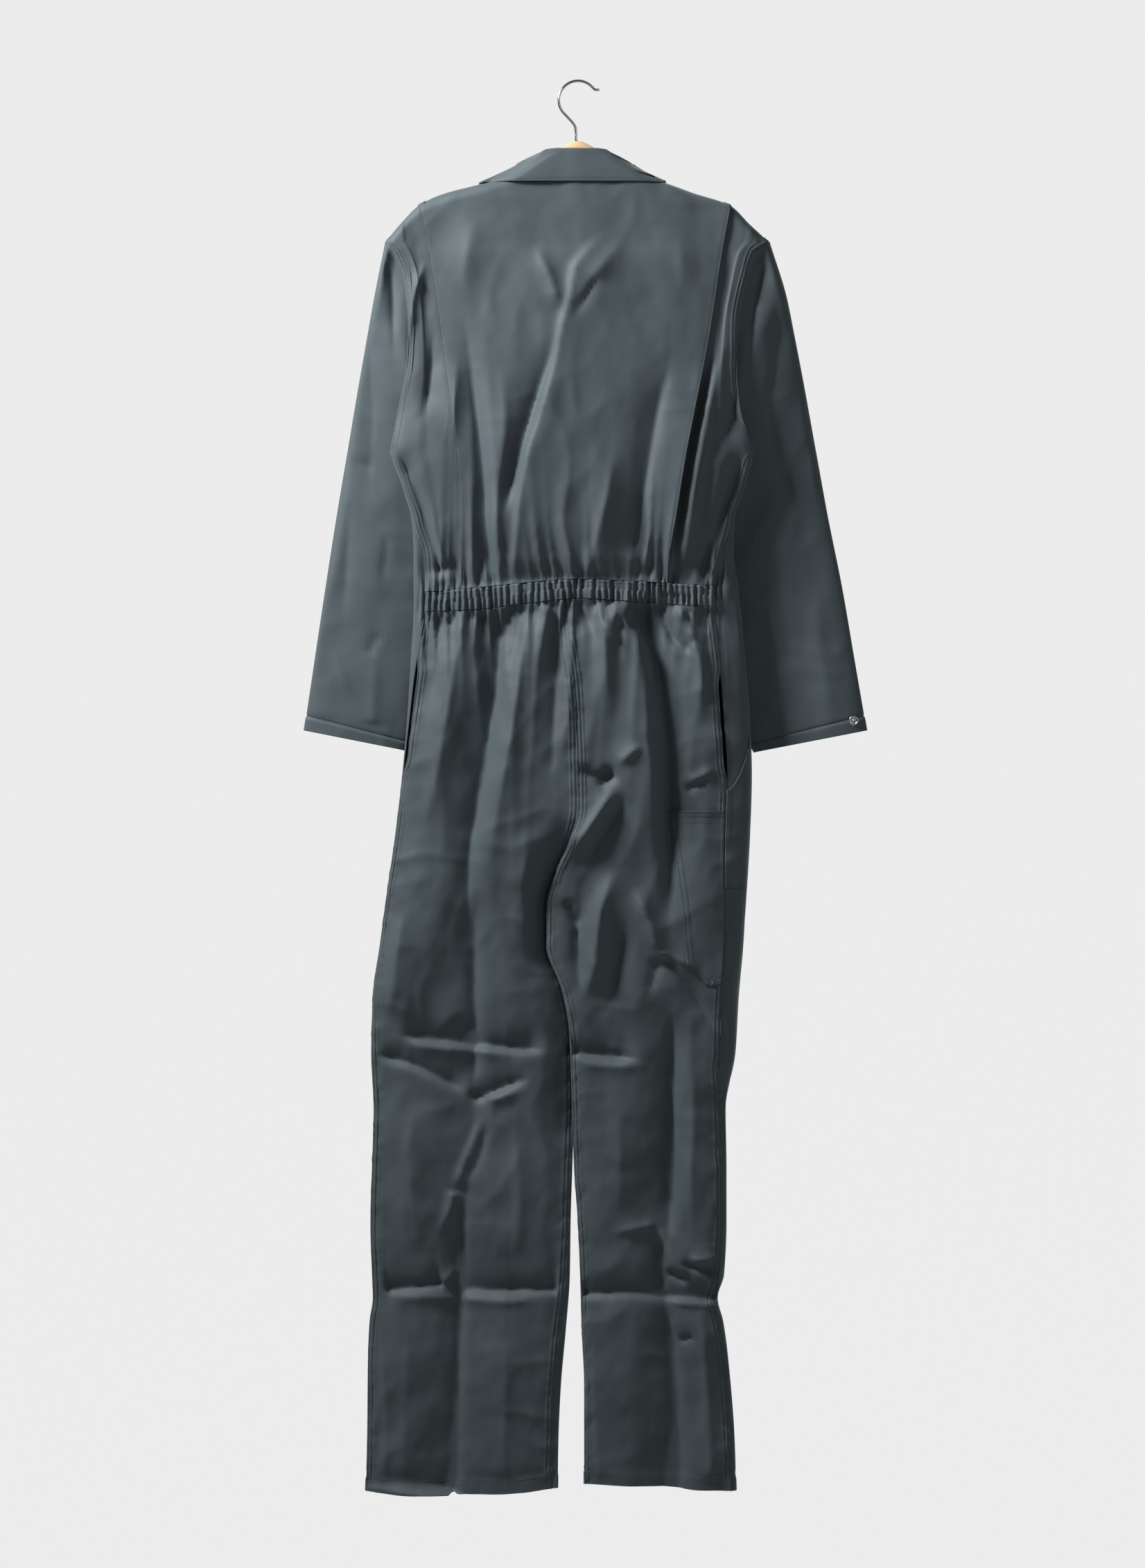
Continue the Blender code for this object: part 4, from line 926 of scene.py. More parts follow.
def raised(spots, height, turned=False):
    """The grid moved out along its normals. A turned grid's columns run leftwards."""
    return spots + normals_of(spots) * height[..., None] * (-1 if turned else 1)


STITCHED = {}  # lines of stitches, by name, filled in as the panels are made
ROUNDS = {}  # the distances round each half of the form, by side and face


def cloth(name, spots, material, wrap=False, held="draped", thickness=None):
    """Turns a grid of points into a sheet of cloth that replaces the node of its name."""
    rows, columns = spots.shape[:2]
    made = new_object(f"{name}_cloth", spots.reshape(-1, 3), grid_faces(rows, columns, wrap))
    made.data.materials.append(material)
    wall = made.modifiers.new("Cloth", "SOLIDIFY")
    wall.thickness = thickness or settings().cloth.thickness
    wall.offset = -1
    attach(made, "root")
    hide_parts(name)
    closed = np.concatenate([spots, spots[:, :1]], axis=1) if wrap else spots
    width = float(run_along(closed)[:, -1].max())
    length = float(run_along(spots, 0)[-1].max())
    return made


def back_columns(low, high, pitch=None, fold=None):
    """Columns over a panel of the back between two lines, given as functions of z.

    Returns a function of z. Where fold is given, its distances run on past the second line.
    """
    middle = np.array([[-0.4]])
    width = float(np.abs(high(middle) - low(middle))[0, 0])
    share, offset = spread(width, pitch or settings().cloth.pitch, EDGE_STEPS)
    if fold is not None:
        share, offset = np.append(share, 0 * fold + 1), np.append(offset, fold)

    def x_of(z):
        start, end = low(z), high(z)
        way = np.sign(end - start)
        return start + (end - start) * share + way * offset

    return x_of, share, offset


def pleat_gape(z):
    """How far open the right pleat stands, from 0 to 1."""
    return smoothstep((-320 * MM - z) / (90 * MM)) * smoothstep((z + 600 * MM) / (75 * MM))


def pleat_line(side, inward=0.0):
    return lambda z: PLEATS.at(side, z) - way_out(side) * inward


def outer_line(side):
    """The side panel's outer line: the armhole, then the side seam."""
    back = ROUNDS[side, -1]

    def line(z):
        x, _ = back.x(z, 0.0, SEAM_GAP / 2)
        return np.where(z > UNDERARM, ARMHOLE.at(side, z) - way_out(side) * SEAM_GAP, x)

    return line


def over_y(spots, sink):
    """The grid sunk into the suit by that much."""
    spots = spots.copy()
    spots[..., 1] = np.minimum(spots[..., 1] + sink, -SEAM_GAP / 2)
    return spots


def make_back_centre(twill):
    """The centre panel. Both its sides are folded under at the pleats."""
    under = np.array((0, 0.4, 2.0, 5.0, 9.0)) * MM
    depth = np.array((0.9, 1.7, 2.3, 2.4, 2.4)) * MM
    left, right = pleat_line("left"), pleat_line("right")
    x_of, share, _ = back_columns(left, right)
    count = len(share)

    def lines(z):
        z_left, z_middle, z_right = z[:, : len(under)], z[:, len(under) : -len(under)], z[:, -len(under) :]
        return np.hstack([left(z_left) + under[::-1], x_of(z_middle), right(z_right) - under])

    def whole(z):
        return lines(np.broadcast_to(z, (z.shape[0], count + 2 * len(under))) if z.shape[1] == 1 else z)

    z = down(whole, back_top, lambda x: BAND.at("top", x) + SEAM_GAP / 2, 500 * MM, settings().cloth.pitch)
    x = whole(z)
    y = skin_y(-1, x, z)
    sink = np.concatenate([depth[::-1], np.zeros(count), depth])
    sink = sink * smoothstep((back_top(x) - z) / (6 * MM))
    width = right(z) - left(z)
    near_right = smoothstep(1 - (right(z) - x) / (0.22 * width))
    sink = sink - 3.5 * MM * near_right * pleat_gape(z)
    spots = over_y(np.dstack([x, y, z]), sink)
    from_left, from_right = x - left(z), right(z) - x
    sewn = groove(from_left, EDGE_ROW, 0.35 * MM) + groove(from_right, EDGE_ROW, 0.35 * MM)
    foot = run_along(spots, 0)[-1] - run_along(spots, 0)
    spots = raised(spots, sewn + 0.6 * MM * smoothstep((4 * MM - foot) / (3 * MM)))
    STITCHED["pleat left"] = spots[:, len(under) + 3]
    STITCHED["pleat right"] = spots[:, -len(under) - 4]
    return cloth("back_centre", spots, twill)


def pleat_sink(side, z, share):
    """How far the side panel lies below the centre panel, from its outer seam to the pleat."""
    start = SHOULDER.at("level", PLEATS.at(side, z)) - z
    sink = 3.5 * MM * smoothstep((share - 0.2) / 0.7) * smoothstep(start / (8 * MM))
    if side == "right":
        sink = sink + PLEAT_GAPE * pleat_gape(z) * smoothstep((share - 0.74) / 0.26)
    return sink


def make_back_side(side, twill):
    """A side panel of the back, and its pleat: in under the centre panel and part way out again."""
    inward = np.array((2, 5, 9, 14, 20, 26, 31, 33.4, 34, 33.8, 30, 24, 17, 11, 7)) * MM
    deep = np.array((0.3, 0.8, 1, 1, 1, 1, 1, 1, 0.95, 0.88, 0.88, 0.88, 0.88, 0.88, 0.88))
    x_of, share, offset = back_columns(outer_line(side), pleat_line(side, -SEAM_GAP), fold=inward)
    top_short = np.concatenate([np.zeros(len(share) - len(inward)), np.full(len(inward), 15)]) * MM

    def top_of(x):
        return back_top(x) - top_short

    z = down(x_of, top_of, lambda x: BAND.at("top", x) + SEAM_GAP / 2, 450 * MM, settings().cloth.pitch)
    x = x_of(z)
    y = skin_y(-1, x, z)
    position = np.clip(share + offset / (60 * MM) * (share > 0.5) * (offset < 0), 0, 1)
    position = np.where(offset > 0, np.where(share > 0.5, 1.0, 0.0), position)
    layers = np.concatenate([np.zeros(len(share) - len(inward)), deep]) * PLEAT_STEP
    spots = over_y(np.dstack([x, y, z]), pleat_sink(side, z, position) + layers)
    distance = run_along(spots)
    spots = raised(spots, felled(distance) * (distance < 40 * MM), side == "right")
    for row, k in enumerate((2, 7)):
        STITCHED[f"armhole {side} {row}"] = spots[:, k]
    if side == "right":
        spots = spots[:, ::-1]
    return cloth(f"back_side_{side}", spots, twill)


def make_waistband(twill):
    """The casing of the elastic, ruffled by its gathers."""
    ends = [lambda z, side=side: outer_line(side)(z) for side in ("left", "right")]
    x_of, share, _ = back_columns(*ends, pitch=1.7 * MM)
    z = np.linspace(0, 1, 15)[:, None] + np.zeros((15, len(share)))
    v = z.copy()
    z = -0.63 + 0 * v
    for _ in range(10):
        x = x_of(z)
        z = lerp(BAND.at("top", x) - SEAM_GAP / 2, BAND.at("bottom", x) + SEAM_GAP / 2, v)
    folds = settings().folds
    ruffle = soft_noise(x, 0 * x, 4.1 * MM, 1.0, folds.seed + 50) * 2.2 * MM
    ruffle = ruffle + soft_noise(x + 0.25 * z, z, 6.3 * MM, 22 * MM, folds.seed + 51) * 2.0 * MM
    # The ruffles are calmer where the two pleats are sewn in.
    calm_left = smoothstep(1 - np.abs(x + 138 * MM) / (18 * MM))
    calm_right = smoothstep(1 - np.abs(x - 112 * MM) / (22 * MM))
    calm = np.maximum(calm_left, calm_right)
    ends_near = smoothstep((x - x[:, :1]) / (12 * MM)) * smoothstep((x[:, -1:] - x) / (12 * MM))
    lift = ruffle * (1 - 0.7 * calm) * ends_near
    lift = lift + 0.9 * MM * smoothstep(np.minimum(v, 1 - v) / 0.07)
    for row in (0.13, 0.87):
        lift = lift - 0.6 * MM * np.exp(-(((v - row) / 0.035) ** 2))
    y = skin_y(-1, x, z) - lift
    spots = np.dstack([x, np.minimum(y, -SEAM_GAP / 2), z])
    STITCHED["band top"], STITCHED["band foot"] = spots[2], spots[12]
    return cloth("waistband_back", spots, twill, held="gathered")


def leg_grid(side, face, pitch, top_of):
    """x, z and face of a grid over the back of a leg, or over a whole front."""
    form = ROUNDS[side, face]
    length = float(np.median(form.lengths))
    share, offset = spread(length, pitch, EDGE_STEPS)
    offset = offset + np.where(share < 0.5, 1, -1) * SEAM_GAP / 2

    def x_of(z):
        return form.x(z, share, offset)[0]

    def foot_of(x):
        return HEM.at("level", x)

    tall = 1.08 if face < 0 else 1.6
    z = down(x_of, top_of, foot_of, tall, pitch)
    x, faces = form.x(z, share, offset)
    return x, z, faces


def hem_and_seams(spots, turned, first=True, last=True):
    """Lays the felled seams along the sides of a grid and the hem along its foot."""
    across, fall = run_along(spots), run_along(spots, 0)
    height = hemmed(fall[-1] - fall)
    pucker = soft_noise(fall, across, 5.5 * MM, 16 * MM, settings().folds.seed + 90) * 0.5 * MM
    pucker = pucker + soft_noise(fall, across, 14 * MM, 26 * MM, settings().folds.seed + 91) * 0.7 * MM
    for used, distance in ((first, across), (last, across[:, -1:] - across)):
        if used:
            height = np.maximum(height, felled(distance)) + pucker * smoothstep(1.6 - distance / (13 * MM))
    return raised(spots, height, turned)


def make_leg_back(side, twill):
    """The back of one leg, from the waistband to the hem, between the side seam and the inseam."""

    def top_of(x):
        return BAND.at("bottom", x) - SEAM_GAP / 2

    x, z, faces = leg_grid(side, -1, settings().cloth.pitch, top_of)
    way = way_out(side)
    high, low, wide = SLITS[side]
    open_here = wide * smoothstep((high - z) / (30 * MM)) * smoothstep((z - low) / (30 * MM))
    across = run_along(np.dstack([x, 0 * x, z]))
    near_side = smoothstep(1 - across / (60 * MM))
    x = x - way * open_here * near_side
    y = skin_y(faces, x, z, side)
    spots = np.dstack([x, y, z])
    # The slit's facing puckers and lifts a little.
    pucker = soft_noise(z, across, 24 * MM, 30 * MM, settings().folds.seed + 60)
    spots[..., 1] -= (1.5 + 1.5 * pucker) * MM * near_side * smoothstep(open_here / wide)
    spots = hem_and_seams(spots, side == "right")
    for row, k in enumerate((2, 7)):
        STITCHED[f"side {side} {row}"] = spots[:, k]
        STITCHED[f"inner {side} {row}"] = spots[:, -1 - k]
    STITCHED[f"hem {side}"] = spots[hem_row(spots)]
    if side == "right":
        spots = spots[:, ::-1]
    return cloth(f"leg_back_{side}", spots, twill)


def hem_row(spots):
    """The row nearest to the hem's stitches."""
    fall = run_along(spots, 0).mean(axis=1)
    return int(np.argmin(np.abs(fall[-1] - fall - HEM_WIDTH)))


def make_front(side, twill):
    """One front, shoulder to hem. It runs on round the side to the side seam."""
    x, z, faces = leg_grid(side, 1, settings().cloth.plain_pitch, front_top)
    spots = np.dstack([x, skin_y(faces, x, z, side), z])
    spots = hem_and_seams(spots, side == "left", first=False, last=False)
    STITCHED[f"front hem {side}"] = spots[hem_row(spots)]
    if side == "left":
        spots = spots[:, ::-1]
    return cloth(f"front_{side}", spots, twill)


def make_sleeve(side, twill):
    """A tube from the armhole to the cuff. Its inner edge lies tucked behind the body."""
    pitch = settings().cloth.pitch * 1.15
    length = 606 * MM
    back = np.linspace(0, 1, 52)
    front = np.linspace(1, 0, 26)[1:-1]
    c = np.concatenate([back, front])
    face = np.concatenate([-np.ones(len(back)), np.ones(len(front))])
    near = np.array((0, 0.8, 1.8, 3, 4.5, 6.5, 9)) * MM
    cuff = length - np.array((22, 20.6, 19.6, 18.6, 17.4, 14, 10, 6, 2.5, 1, 0)) * MM
    s = np.concatenate([near, np.arange(12 * MM, length - 24 * MM, pitch), cuff])[:, None]

    # The round of the armhole.
    z = np.full(c.shape, -0.3)
    share = 1 - np.cos(math.pi * c / 2)
    for _ in range(30):
        z = (z + lerp(back_top(ARMHOLE.at(side, z)), UNDERARM, share)) / 2
    x = ARMHOLE.at(side, z)
    depth = np.where(face < 0, BODY.at("rear", z), BODY.at("front", z)) * form_share(x, z)
    hole = np.stack([x, face * np.maximum(depth, SEAM_GAP / 2), z], axis=1)

    def tube(at):
        share = (1 - np.cos(math.pi * c)) / 2
        edges = [[SLEEVE.at(f"{side}_{edge}_{axis}", at) for axis in "xz"] for edge in ("outer", "inner")]
        x, z = (lerp(outer, inner, share) for outer, inner in zip(*edges))
        y = SLEEVE.at("middle", at) + face * SLEEVE.at("depth", at) * profile(share, 0, 1)
        return np.stack([x, y + 0 * x, z], axis=-1)

    spots = tube(s) + (hole - tube(np.zeros((1, 1)))) * (1 - smoothstep(s / (170 * MM)))[..., None]
    round_share = profile((1 - np.cos(math.pi * c)) / 2, 0, 1)
    seen = smoothstep((round_share - 0.3) / 0.5) * (face < 0)
    start = smoothstep((s - 4 * MM) / (24 * MM))
    # The body's cloth stands over the seam, and the sleeve falls away beside it.
    drop = (8 if side == "left" else 5) * MM
    dip = drop * smoothstep(s / (9 * MM)) * (1 - smoothstep((s - 14 * MM) / (60 * MM)))
    dip = dip * smoothstep((c - 0.12) / 0.2) * smoothstep((0.95 - c) / 0.2)
    relief = sleeve_relief(spots[..., 0], spots[..., 2])
    spots[..., 1] += (dip - relief * start) * seen
    other = soft_noise(spots[..., 0], spots[..., 2], 40 * MM, 90 * MM, settings().folds.seed + 70)
    spots[..., 1] += 2 * MM * other * start * smoothstep((round_share - 0.3) / 0.5) * (face > 0)
    if side == "right":
        spots = spots[:, ::-1]
    ends = np.concatenate([spots[:, -2:], spots, spots[:, :2]], axis=1)
    height = hemmed(length - s) + np.zeros(ends.shape[:2])
    spots = raised(ends, height)[:, 2:-2]
    row = int(np.argmin(np.abs(length - HEM_WIDTH - s)))
    STITCHED[f"cuff {side}"] = np.vstack([spots[row], spots[row, :1]])
    return cloth(f"sleeve_{side}", spots, twill, wrap=True, held="hung")


# --- Collar, placket and pockets ------------------------------------------------------------


def stack(x, y, z):
    return np.stack(np.broadcast_arrays(x, y, z), axis=-1)


def make_collar(twill):
    """The stand rises from the neck seam to the roll, and the fall lies over the shoulders."""
    # Places round the neck, closer together over the shoulder.
    spans = ((0, 440, 34), (448, 560, 20), (572, 1000, 34))
    places = np.concatenate([np.linspace(*span) for span in spans]) * MM
    k = np.concatenate([-places[:0:-1], places])
    place, side = np.abs(k), np.where(k < 0, -1, 1)
    front = place > 500 * MM
    narrow = np.where(side > 0, COLLAR_RIGHT, 1.0)
    table = {name: COLLAR.at(name, place) for name in COLLAR.values}
    neck_x = side * table["neck_x"]
    front_z = FRONT_NECK.at("level", neck_x) + 2.2 * MM
    neck_z = np.where(front, front_z, BACK_NECK.at("level", neck_x) + 1 * MM)
    face = np.where(front, 1, -1)
    thin = 0.75 * MM

    def smooth_y(face, x, z, lift):
        depth = np.where(face < 0, BODY.at("rear", z), BODY.at("front", z)) + lift
        return face * np.maximum(depth * form_share(x, z), SEAM_GAP / 2)

    def clear_of(spots):
        """The same places, moved out or up until they are clear of the shoulders' cloth."""
        x, y, z = spots[..., 0], spots[..., 1], spots[..., 2]
        crest = SHOULDER.at("level", x) + thin + COLLAR_LIFT
        low = z < crest
        flat = low & (np.abs(y) < 4 * MM)
        ways = np.broadcast_to(face if x.ndim == 1 else face[:, None], x.shape)
        least = np.abs(smooth_y(ways, x, z, thin + COLLAR_LIFT))
        out = np.where(low & ~flat, ways * np.maximum(ways * y, least), y)
        return stack(x, out, np.where(flat, crest, z))

    neck = stack(neck_x, smooth_y(face, neck_x, neck_z - 3 * MM, -thin), neck_z)
    roll = stack(side * narrow * table["roll_x"], table["roll_y"], table["roll_z"])
    edge_x = side * narrow * table["edge_x"]
    bias = np.clip((place - 500 * MM) / (25 * MM), -1, 1)
    edge = clear_of(stack(edge_x, 9 * MM * bias * (0.2 + 0.8 * np.abs(bias)), table["edge_z"]))

    out = edge - neck
    out[:, 2] = 0
    out = out / np.maximum(np.linalg.norm(out, axis=1, keepdims=True), 1e-9)
    top = roll - np.array((0, 0, COLLAR_ROLL))
    stand_top, fall_top = top - out * COLLAR_ROLL, top + out * COLLAR_ROLL
    path = [lerp(neck, stand_top, share) for share in np.linspace(0, 1, 6)]
    up = np.array((0, 0, 1.0))
    path += [top + (up * math.sin(a) - out * math.cos(a)) * COLLAR_ROLL for a in np.linspace(0.3, 2.84, 8)]
    fall = np.concatenate([np.linspace(0, 0.9, 16), (0.93, 0.95, 0.965, 0.98, 0.99, 1)])
    path += [clear_of(lerp(fall_top, edge, share)) for share in fall]
    spots = np.stack(path, axis=0)
    # The fall's edge is turned, and its hem stands a little proud.
    x, z = spots[..., 0], spots[..., 2]
    wave = soft_noise(x, spots[..., 1] + z, 30 * MM, 26 * MM, settings().folds.seed + 80)
    down_fall = np.clip((np.arange(len(path)) - 14) / 16, 0, 1)[:, None]
    lift = 0.8 * MM * (wave + 1) * smoothstep(down_fall)
    from_edge = run_along(spots, 0)
    from_edge = from_edge[-1] - from_edge
    lift = lift + groove(from_edge, EDGE_ROW, 0.4 * MM)
    spots = raised(spots, lift)
    STITCHED["collar"] = spots[-4]
    return cloth("collar", spots, twill, thickness=1.5 * MM)


def patch(name, spots, twill, turned, rows=("left", "right", "foot")):
    """A patch with a raised, stitched border."""
    across, fall = run_along(spots), run_along(spots, 0)
    edges = {"left": across, "right": across[:, -1:] - across, "top": fall, "foot": fall[-1] - fall}
    height = 0
    for edge in rows:
        height = height + groove(edges[edge], EDGE_ROW, 0.45 * MM)
        height = height + groove(edges[edge], SECOND_ROW, 0.35 * MM)
    spots = raised(spots, height, turned)
    return cloth(name, spots[:, ::-1] if turned else spots, twill)


def inset_line(spots, distance, sides):
    """A line of stitches that far inside the edges of a patch, as a list of points."""
    across, fall = run_along(spots), run_along(spots, 0)
    top = int(np.argmin(np.abs(fall.mean(1) - distance)))
    foot = int(np.argmin(np.abs(fall[-1].mean() - fall.mean(1) - distance)))
    first = int(np.argmin(np.abs(across.mean(0) - distance)))
    last = int(np.argmin(np.abs(across[:, -1].mean() - across.mean(0) - distance)))
    lines = {
        "left": spots[top : foot + 1, first],
        "right": spots[top : foot + 1, last],
        "top": spots[top, first : last + 1],
        "foot": spots[foot, first : last + 1],
    }
    return [lines[name] for name in sides]


def make_placket(twill):
    """The strip down the middle of the front that covers its closure."""
    share, offset = spread(2 * PLACKET_HALF, settings().cloth.plain_pitch, EDGE_STEPS[::2])
    v = np.linspace(0, 1, 150)[:, None]
    z = lerp(FRONT_NECK.at("level", 0) - 5 * MM, CROTCH_TOP + 20 * MM, v) + 0 * share
    x = INNER.at("left", z) + PLACKET_HALF - 2 * PLACKET_HALF * share - offset
    y = skin_y(1, x, z, lift=POCKET_LIFT)
    spots = np.dstack([x, y, z])
    STITCHED["placket"] = inset_line(spots, EDGE_ROW, ["left"])[0]
    STITCHED["placket right"] = inset_line(spots, EDGE_ROW, ["right"])[0]
    return patch("front_placket", spots, twill, False, ("left", "right"))


def make_hip_pocket(side, twill):
    """A patch on the front that runs round to the side seam. Its mouth slants up to the front."""
    form = ROUNDS[side, 1]
    wide = 0.52 * float(np.median(form.lengths))
    share, offset = spread(wide, settings().cloth.plain_pitch, EDGE_STEPS[::2])
    v, fine = spread(0.2, settings().cloth.plain_pitch, EDGE_STEPS[::2])
    u = share + offset / wide
    mouth = lerp(-868 * MM, -735 * MM, smoothstep(1.8 * u))
    z = mouth + (-988 * MM - mouth) * v[:, None] - fine[:, None]
    x, faces = form.x(z, 0.52 * share, offset)
    y = skin_y(faces, x, z, side, lift=POCKET_LIFT + 0.6 * MM)
    spots = np.dstack([x, y, z])
    for name, line in zip(("foot", "front", "mouth"), inset_line(spots, EDGE_ROW, ("foot", "right", "top"))):
        STITCHED[f"hip pocket {side} {name}"] = line
    return patch(f"hip_pocket_{side}", spots, twill, side == "left", ("left", "right", "foot", "top"))


def make_tool_pocket(twill):
    """The long pocket down the side of the right leg, open at its top."""
    form = ROUNDS["right", -1]
    share, offset = spread(60 * MM, 2.6 * MM, EDGE_STEPS)
    v, fine = spread(0.213, 2.8 * MM, EDGE_STEPS)
    z = lerp(-894 * MM, -1107 * MM, v)[:, None] - fine[:, None] + 0 * share
    seam, _ = form.x(z, 0.0, 2 * MM)
    low = TOOL_POCKET.at("left", z)
    x = low + (seam - low) * share + offset
    y = skin_y(-1, x, z, "right", lift=POCKET_LIFT)
    spots = np.dstack([x, y, z])
    # The mouth stands a little open between its two sewn corners.
    from_top = spots[0, 0, 2] - z
    from_side = np.minimum(x - low, seam - x)
    spots[..., 1] -= 1.2 * MM * smoothstep(1 - from_top / (14 * MM)) * smoothstep(from_side / (14 * MM))
    for row, distance in enumerate((EDGE_ROW, SECOND_ROW)):
        for name, line in zip(("left", "foot"), inset_line(spots, distance, ("left", "foot"))):
            STITCHED[f"tool pocket {name} {row}"] = line
    STITCHED["tool pocket mouth"] = inset_line(spots, 15 * MM, ["top"])[0]
    STITCHED["tool pocket mouth edge"] = inset_line(spots, EDGE_ROW, ["top"])[0]
    return patch("tool_pocket", spots, twill, False, ("left", "foot", "top"))


# --- Hanger and snap ------------------------------------------------------------------------


def swept(name, node, path, radii, material, sides=24):
    """A round or oval bar along a path in the hanger's plane. radii holds (in plane, across)."""
    path, radii = np.array(path), np.array(radii)
    ahead = np.gradient(path, axis=0)
    up = np.stack([-ahead[:, 2], 0 * ahead[:, 0], ahead[:, 0]], axis=1)
    up /= np.linalg.norm(up, axis=1, keepdims=True)
    a = np.arange(sides) * 2 * math.pi / sides
    rings = path[:, None] + up[:, None] * radii[:, 0, None, None] * np.cos(a)[:, None]
    rings[..., 1] += radii[:, 1, None] * np.sin(a)
    # Round ends: three smaller rings beyond each end.
    lids = []
    for end, step in ((0, path[0] - path[1]), (-1, path[-1] - path[-2])):
        step = step / np.linalg.norm(step)
        middle = path[end]
        for t in (0.5, 0.85, 0.99):
            ring = middle + (rings[end] - middle) * math.sqrt(1 - t * t) + step * t * radii[end].min() * 0.8
            lids.append(ring)
    rings = np.concatenate([[lids[2]], [lids[1]], [lids[0]], rings, [lids[3]], [lids[4]], [lids[5]]])
    count = len(rings)
    faces = grid_faces(count, sides, wrap=True).tolist()
    ends = [range(sides), range((count - 1) * sides, count * sides)]
    made = closed_object(name, rings.reshape(-1, 3), faces, ends)
    made.data.materials.append(material)
    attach(made, "root")
    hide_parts(node)
    return made


def closed_object(name, points, faces, lids=()):
    """An object whose faces are made to point outwards."""
    shape = bmesh.new()
    verts = [shape.verts.new(point) for point in points]
    for face in [*faces, *lids]:
        shape.faces.new([verts[i] for i in face])
    bmesh.ops.recalc_face_normals(shape, faces=shape.faces[:])
    mesh = bpy.data.meshes.new(name)
    shape.to_mesh(mesh)
    shape.free()
    mesh.shade_smooth()
    made = bpy.data.objects.new(name, mesh)
    bpy.context.scene.collection.objects.link(made)
    return made


def hanger_top(x):
    """The top of the bow: just under the shoulders, and arched up through the neck."""
    inside = SHOULDER.at("level", x) - 3.2 * MM
    return np.where(np.abs(x) < NECK_HALF, HANGER_ARCH.at("level", x), inside)


def make_hanger(wood):
    sizes = settings().hanger
    x = np.linspace(-1, 1, 121) * sizes.half_span
    top = hanger_top(x)
    slope = (hanger_top(x + 4 * MM) - hanger_top(x - 4 * MM)) / (8 * MM)
    deep = sizes.depth / 2 * (1 - 0.5 * np.abs(x) / sizes.half_span)
    room = (BODY.at("front", top) - 1.5 * MM) * profile(x, BODY.at("left", top), BODY.at("right", top))
    thick = np.minimum(sizes.thickness / 2, 0.6 * room * np.sqrt(deep / SHOULDER_ROUND))
    down_way = np.stack([slope, 0 * x, -np.ones_like(x)], axis=1)
    down_way /= np.linalg.norm(down_way, axis=1, keepdims=True)
    path = stack(x, 0 * x, top) + down_way * deep[:, None]
    return swept("wooden_bow", "hanger_body", path, np.stack([deep, thick], axis=1), wood, sides=28)


def make_hook(chrome):
    sizes = settings().hanger
    foot = HANGER_ARCH.at("level", 0) + SEAM_GAP
    stem = HOOK_STEM
    radius = sizes.crown + sizes.wire / 2
    turns = np.radians(np.linspace(228, 40, 60))
    middle = np.array((0.8 * MM, 0, -sizes.crown))
    path = [(stem, 0, foot), (stem, 0, foot + 5 * MM), (stem, 0, -62 * MM)]
    path += [(-3 * MM, 0, -54 * MM), (-8 * MM, 0, -47 * MM)]
    crown = middle + radius * np.stack([np.cos(turns), 0 * turns, np.sin(turns)], axis=1)
    path = [*smooth_bar(path), *crown]
    path += [np.array((21.5 * MM, 0, -9.2 * MM)), np.array((26 * MM, 0, -9.4 * MM))]
    wire = sizes.wire / 2
    return swept("hook", "hanger_hook", path, [(wire, wire)] * len(path), chrome, sides=16)


def smooth_bar(points):
    """A few points on a smooth curve through the given ones."""
    line = smooth_line([(x / MM, z / MM) for x, _, z in points], 5)
    return [np.array((x, 0, z)) for x, z in line[:-1]]


def make_snap(nickel):
    """The ring of the snap on the right cuff, with its dished middle and socket."""
    low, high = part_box("cuff_snap")
    centre = (np.array(low) + np.array(high)) / 2
    base, wide = high[1] - 1.8 * MM, (high[0] - low[0]) / 2
    # From the cuff to the middle: how far each ring stands out, and its share of the radius.
    steps = ((0.0, 1.0), (0.7, 1.0), (1.25, 0.93), (1.5, 0.84), (1.35, 0.74), (0.8, 0.66))
    steps += ((0.55, 0.55), (0.55, 0.3), (0.8, 0.24), (1.1, 0.2), (1.15, 0.1))
    a = np.arange(40) * 2 * math.pi / 40
    rings = []
    for rise, share in steps:
        x, z = centre[0] + wide * share * np.cos(a), centre[2] + wide * share * np.sin(a)
        rings.append(stack(x, base - rise * MM + 0 * a, z))
    rings = np.array(rings)
    faces = grid_faces(len(rings), 40, wrap=True).tolist()
    lids = [range(40), range((len(rings) - 1) * 40, len(rings) * 40)]
    made = closed_object("snap_ring", rings.reshape(-1, 3), faces, lids)
    made.data.materials.append(nickel)
    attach(made, "root")
    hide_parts("cuff_snap")
    return made


# --- Stitches -------------------------------------------------------------------------------


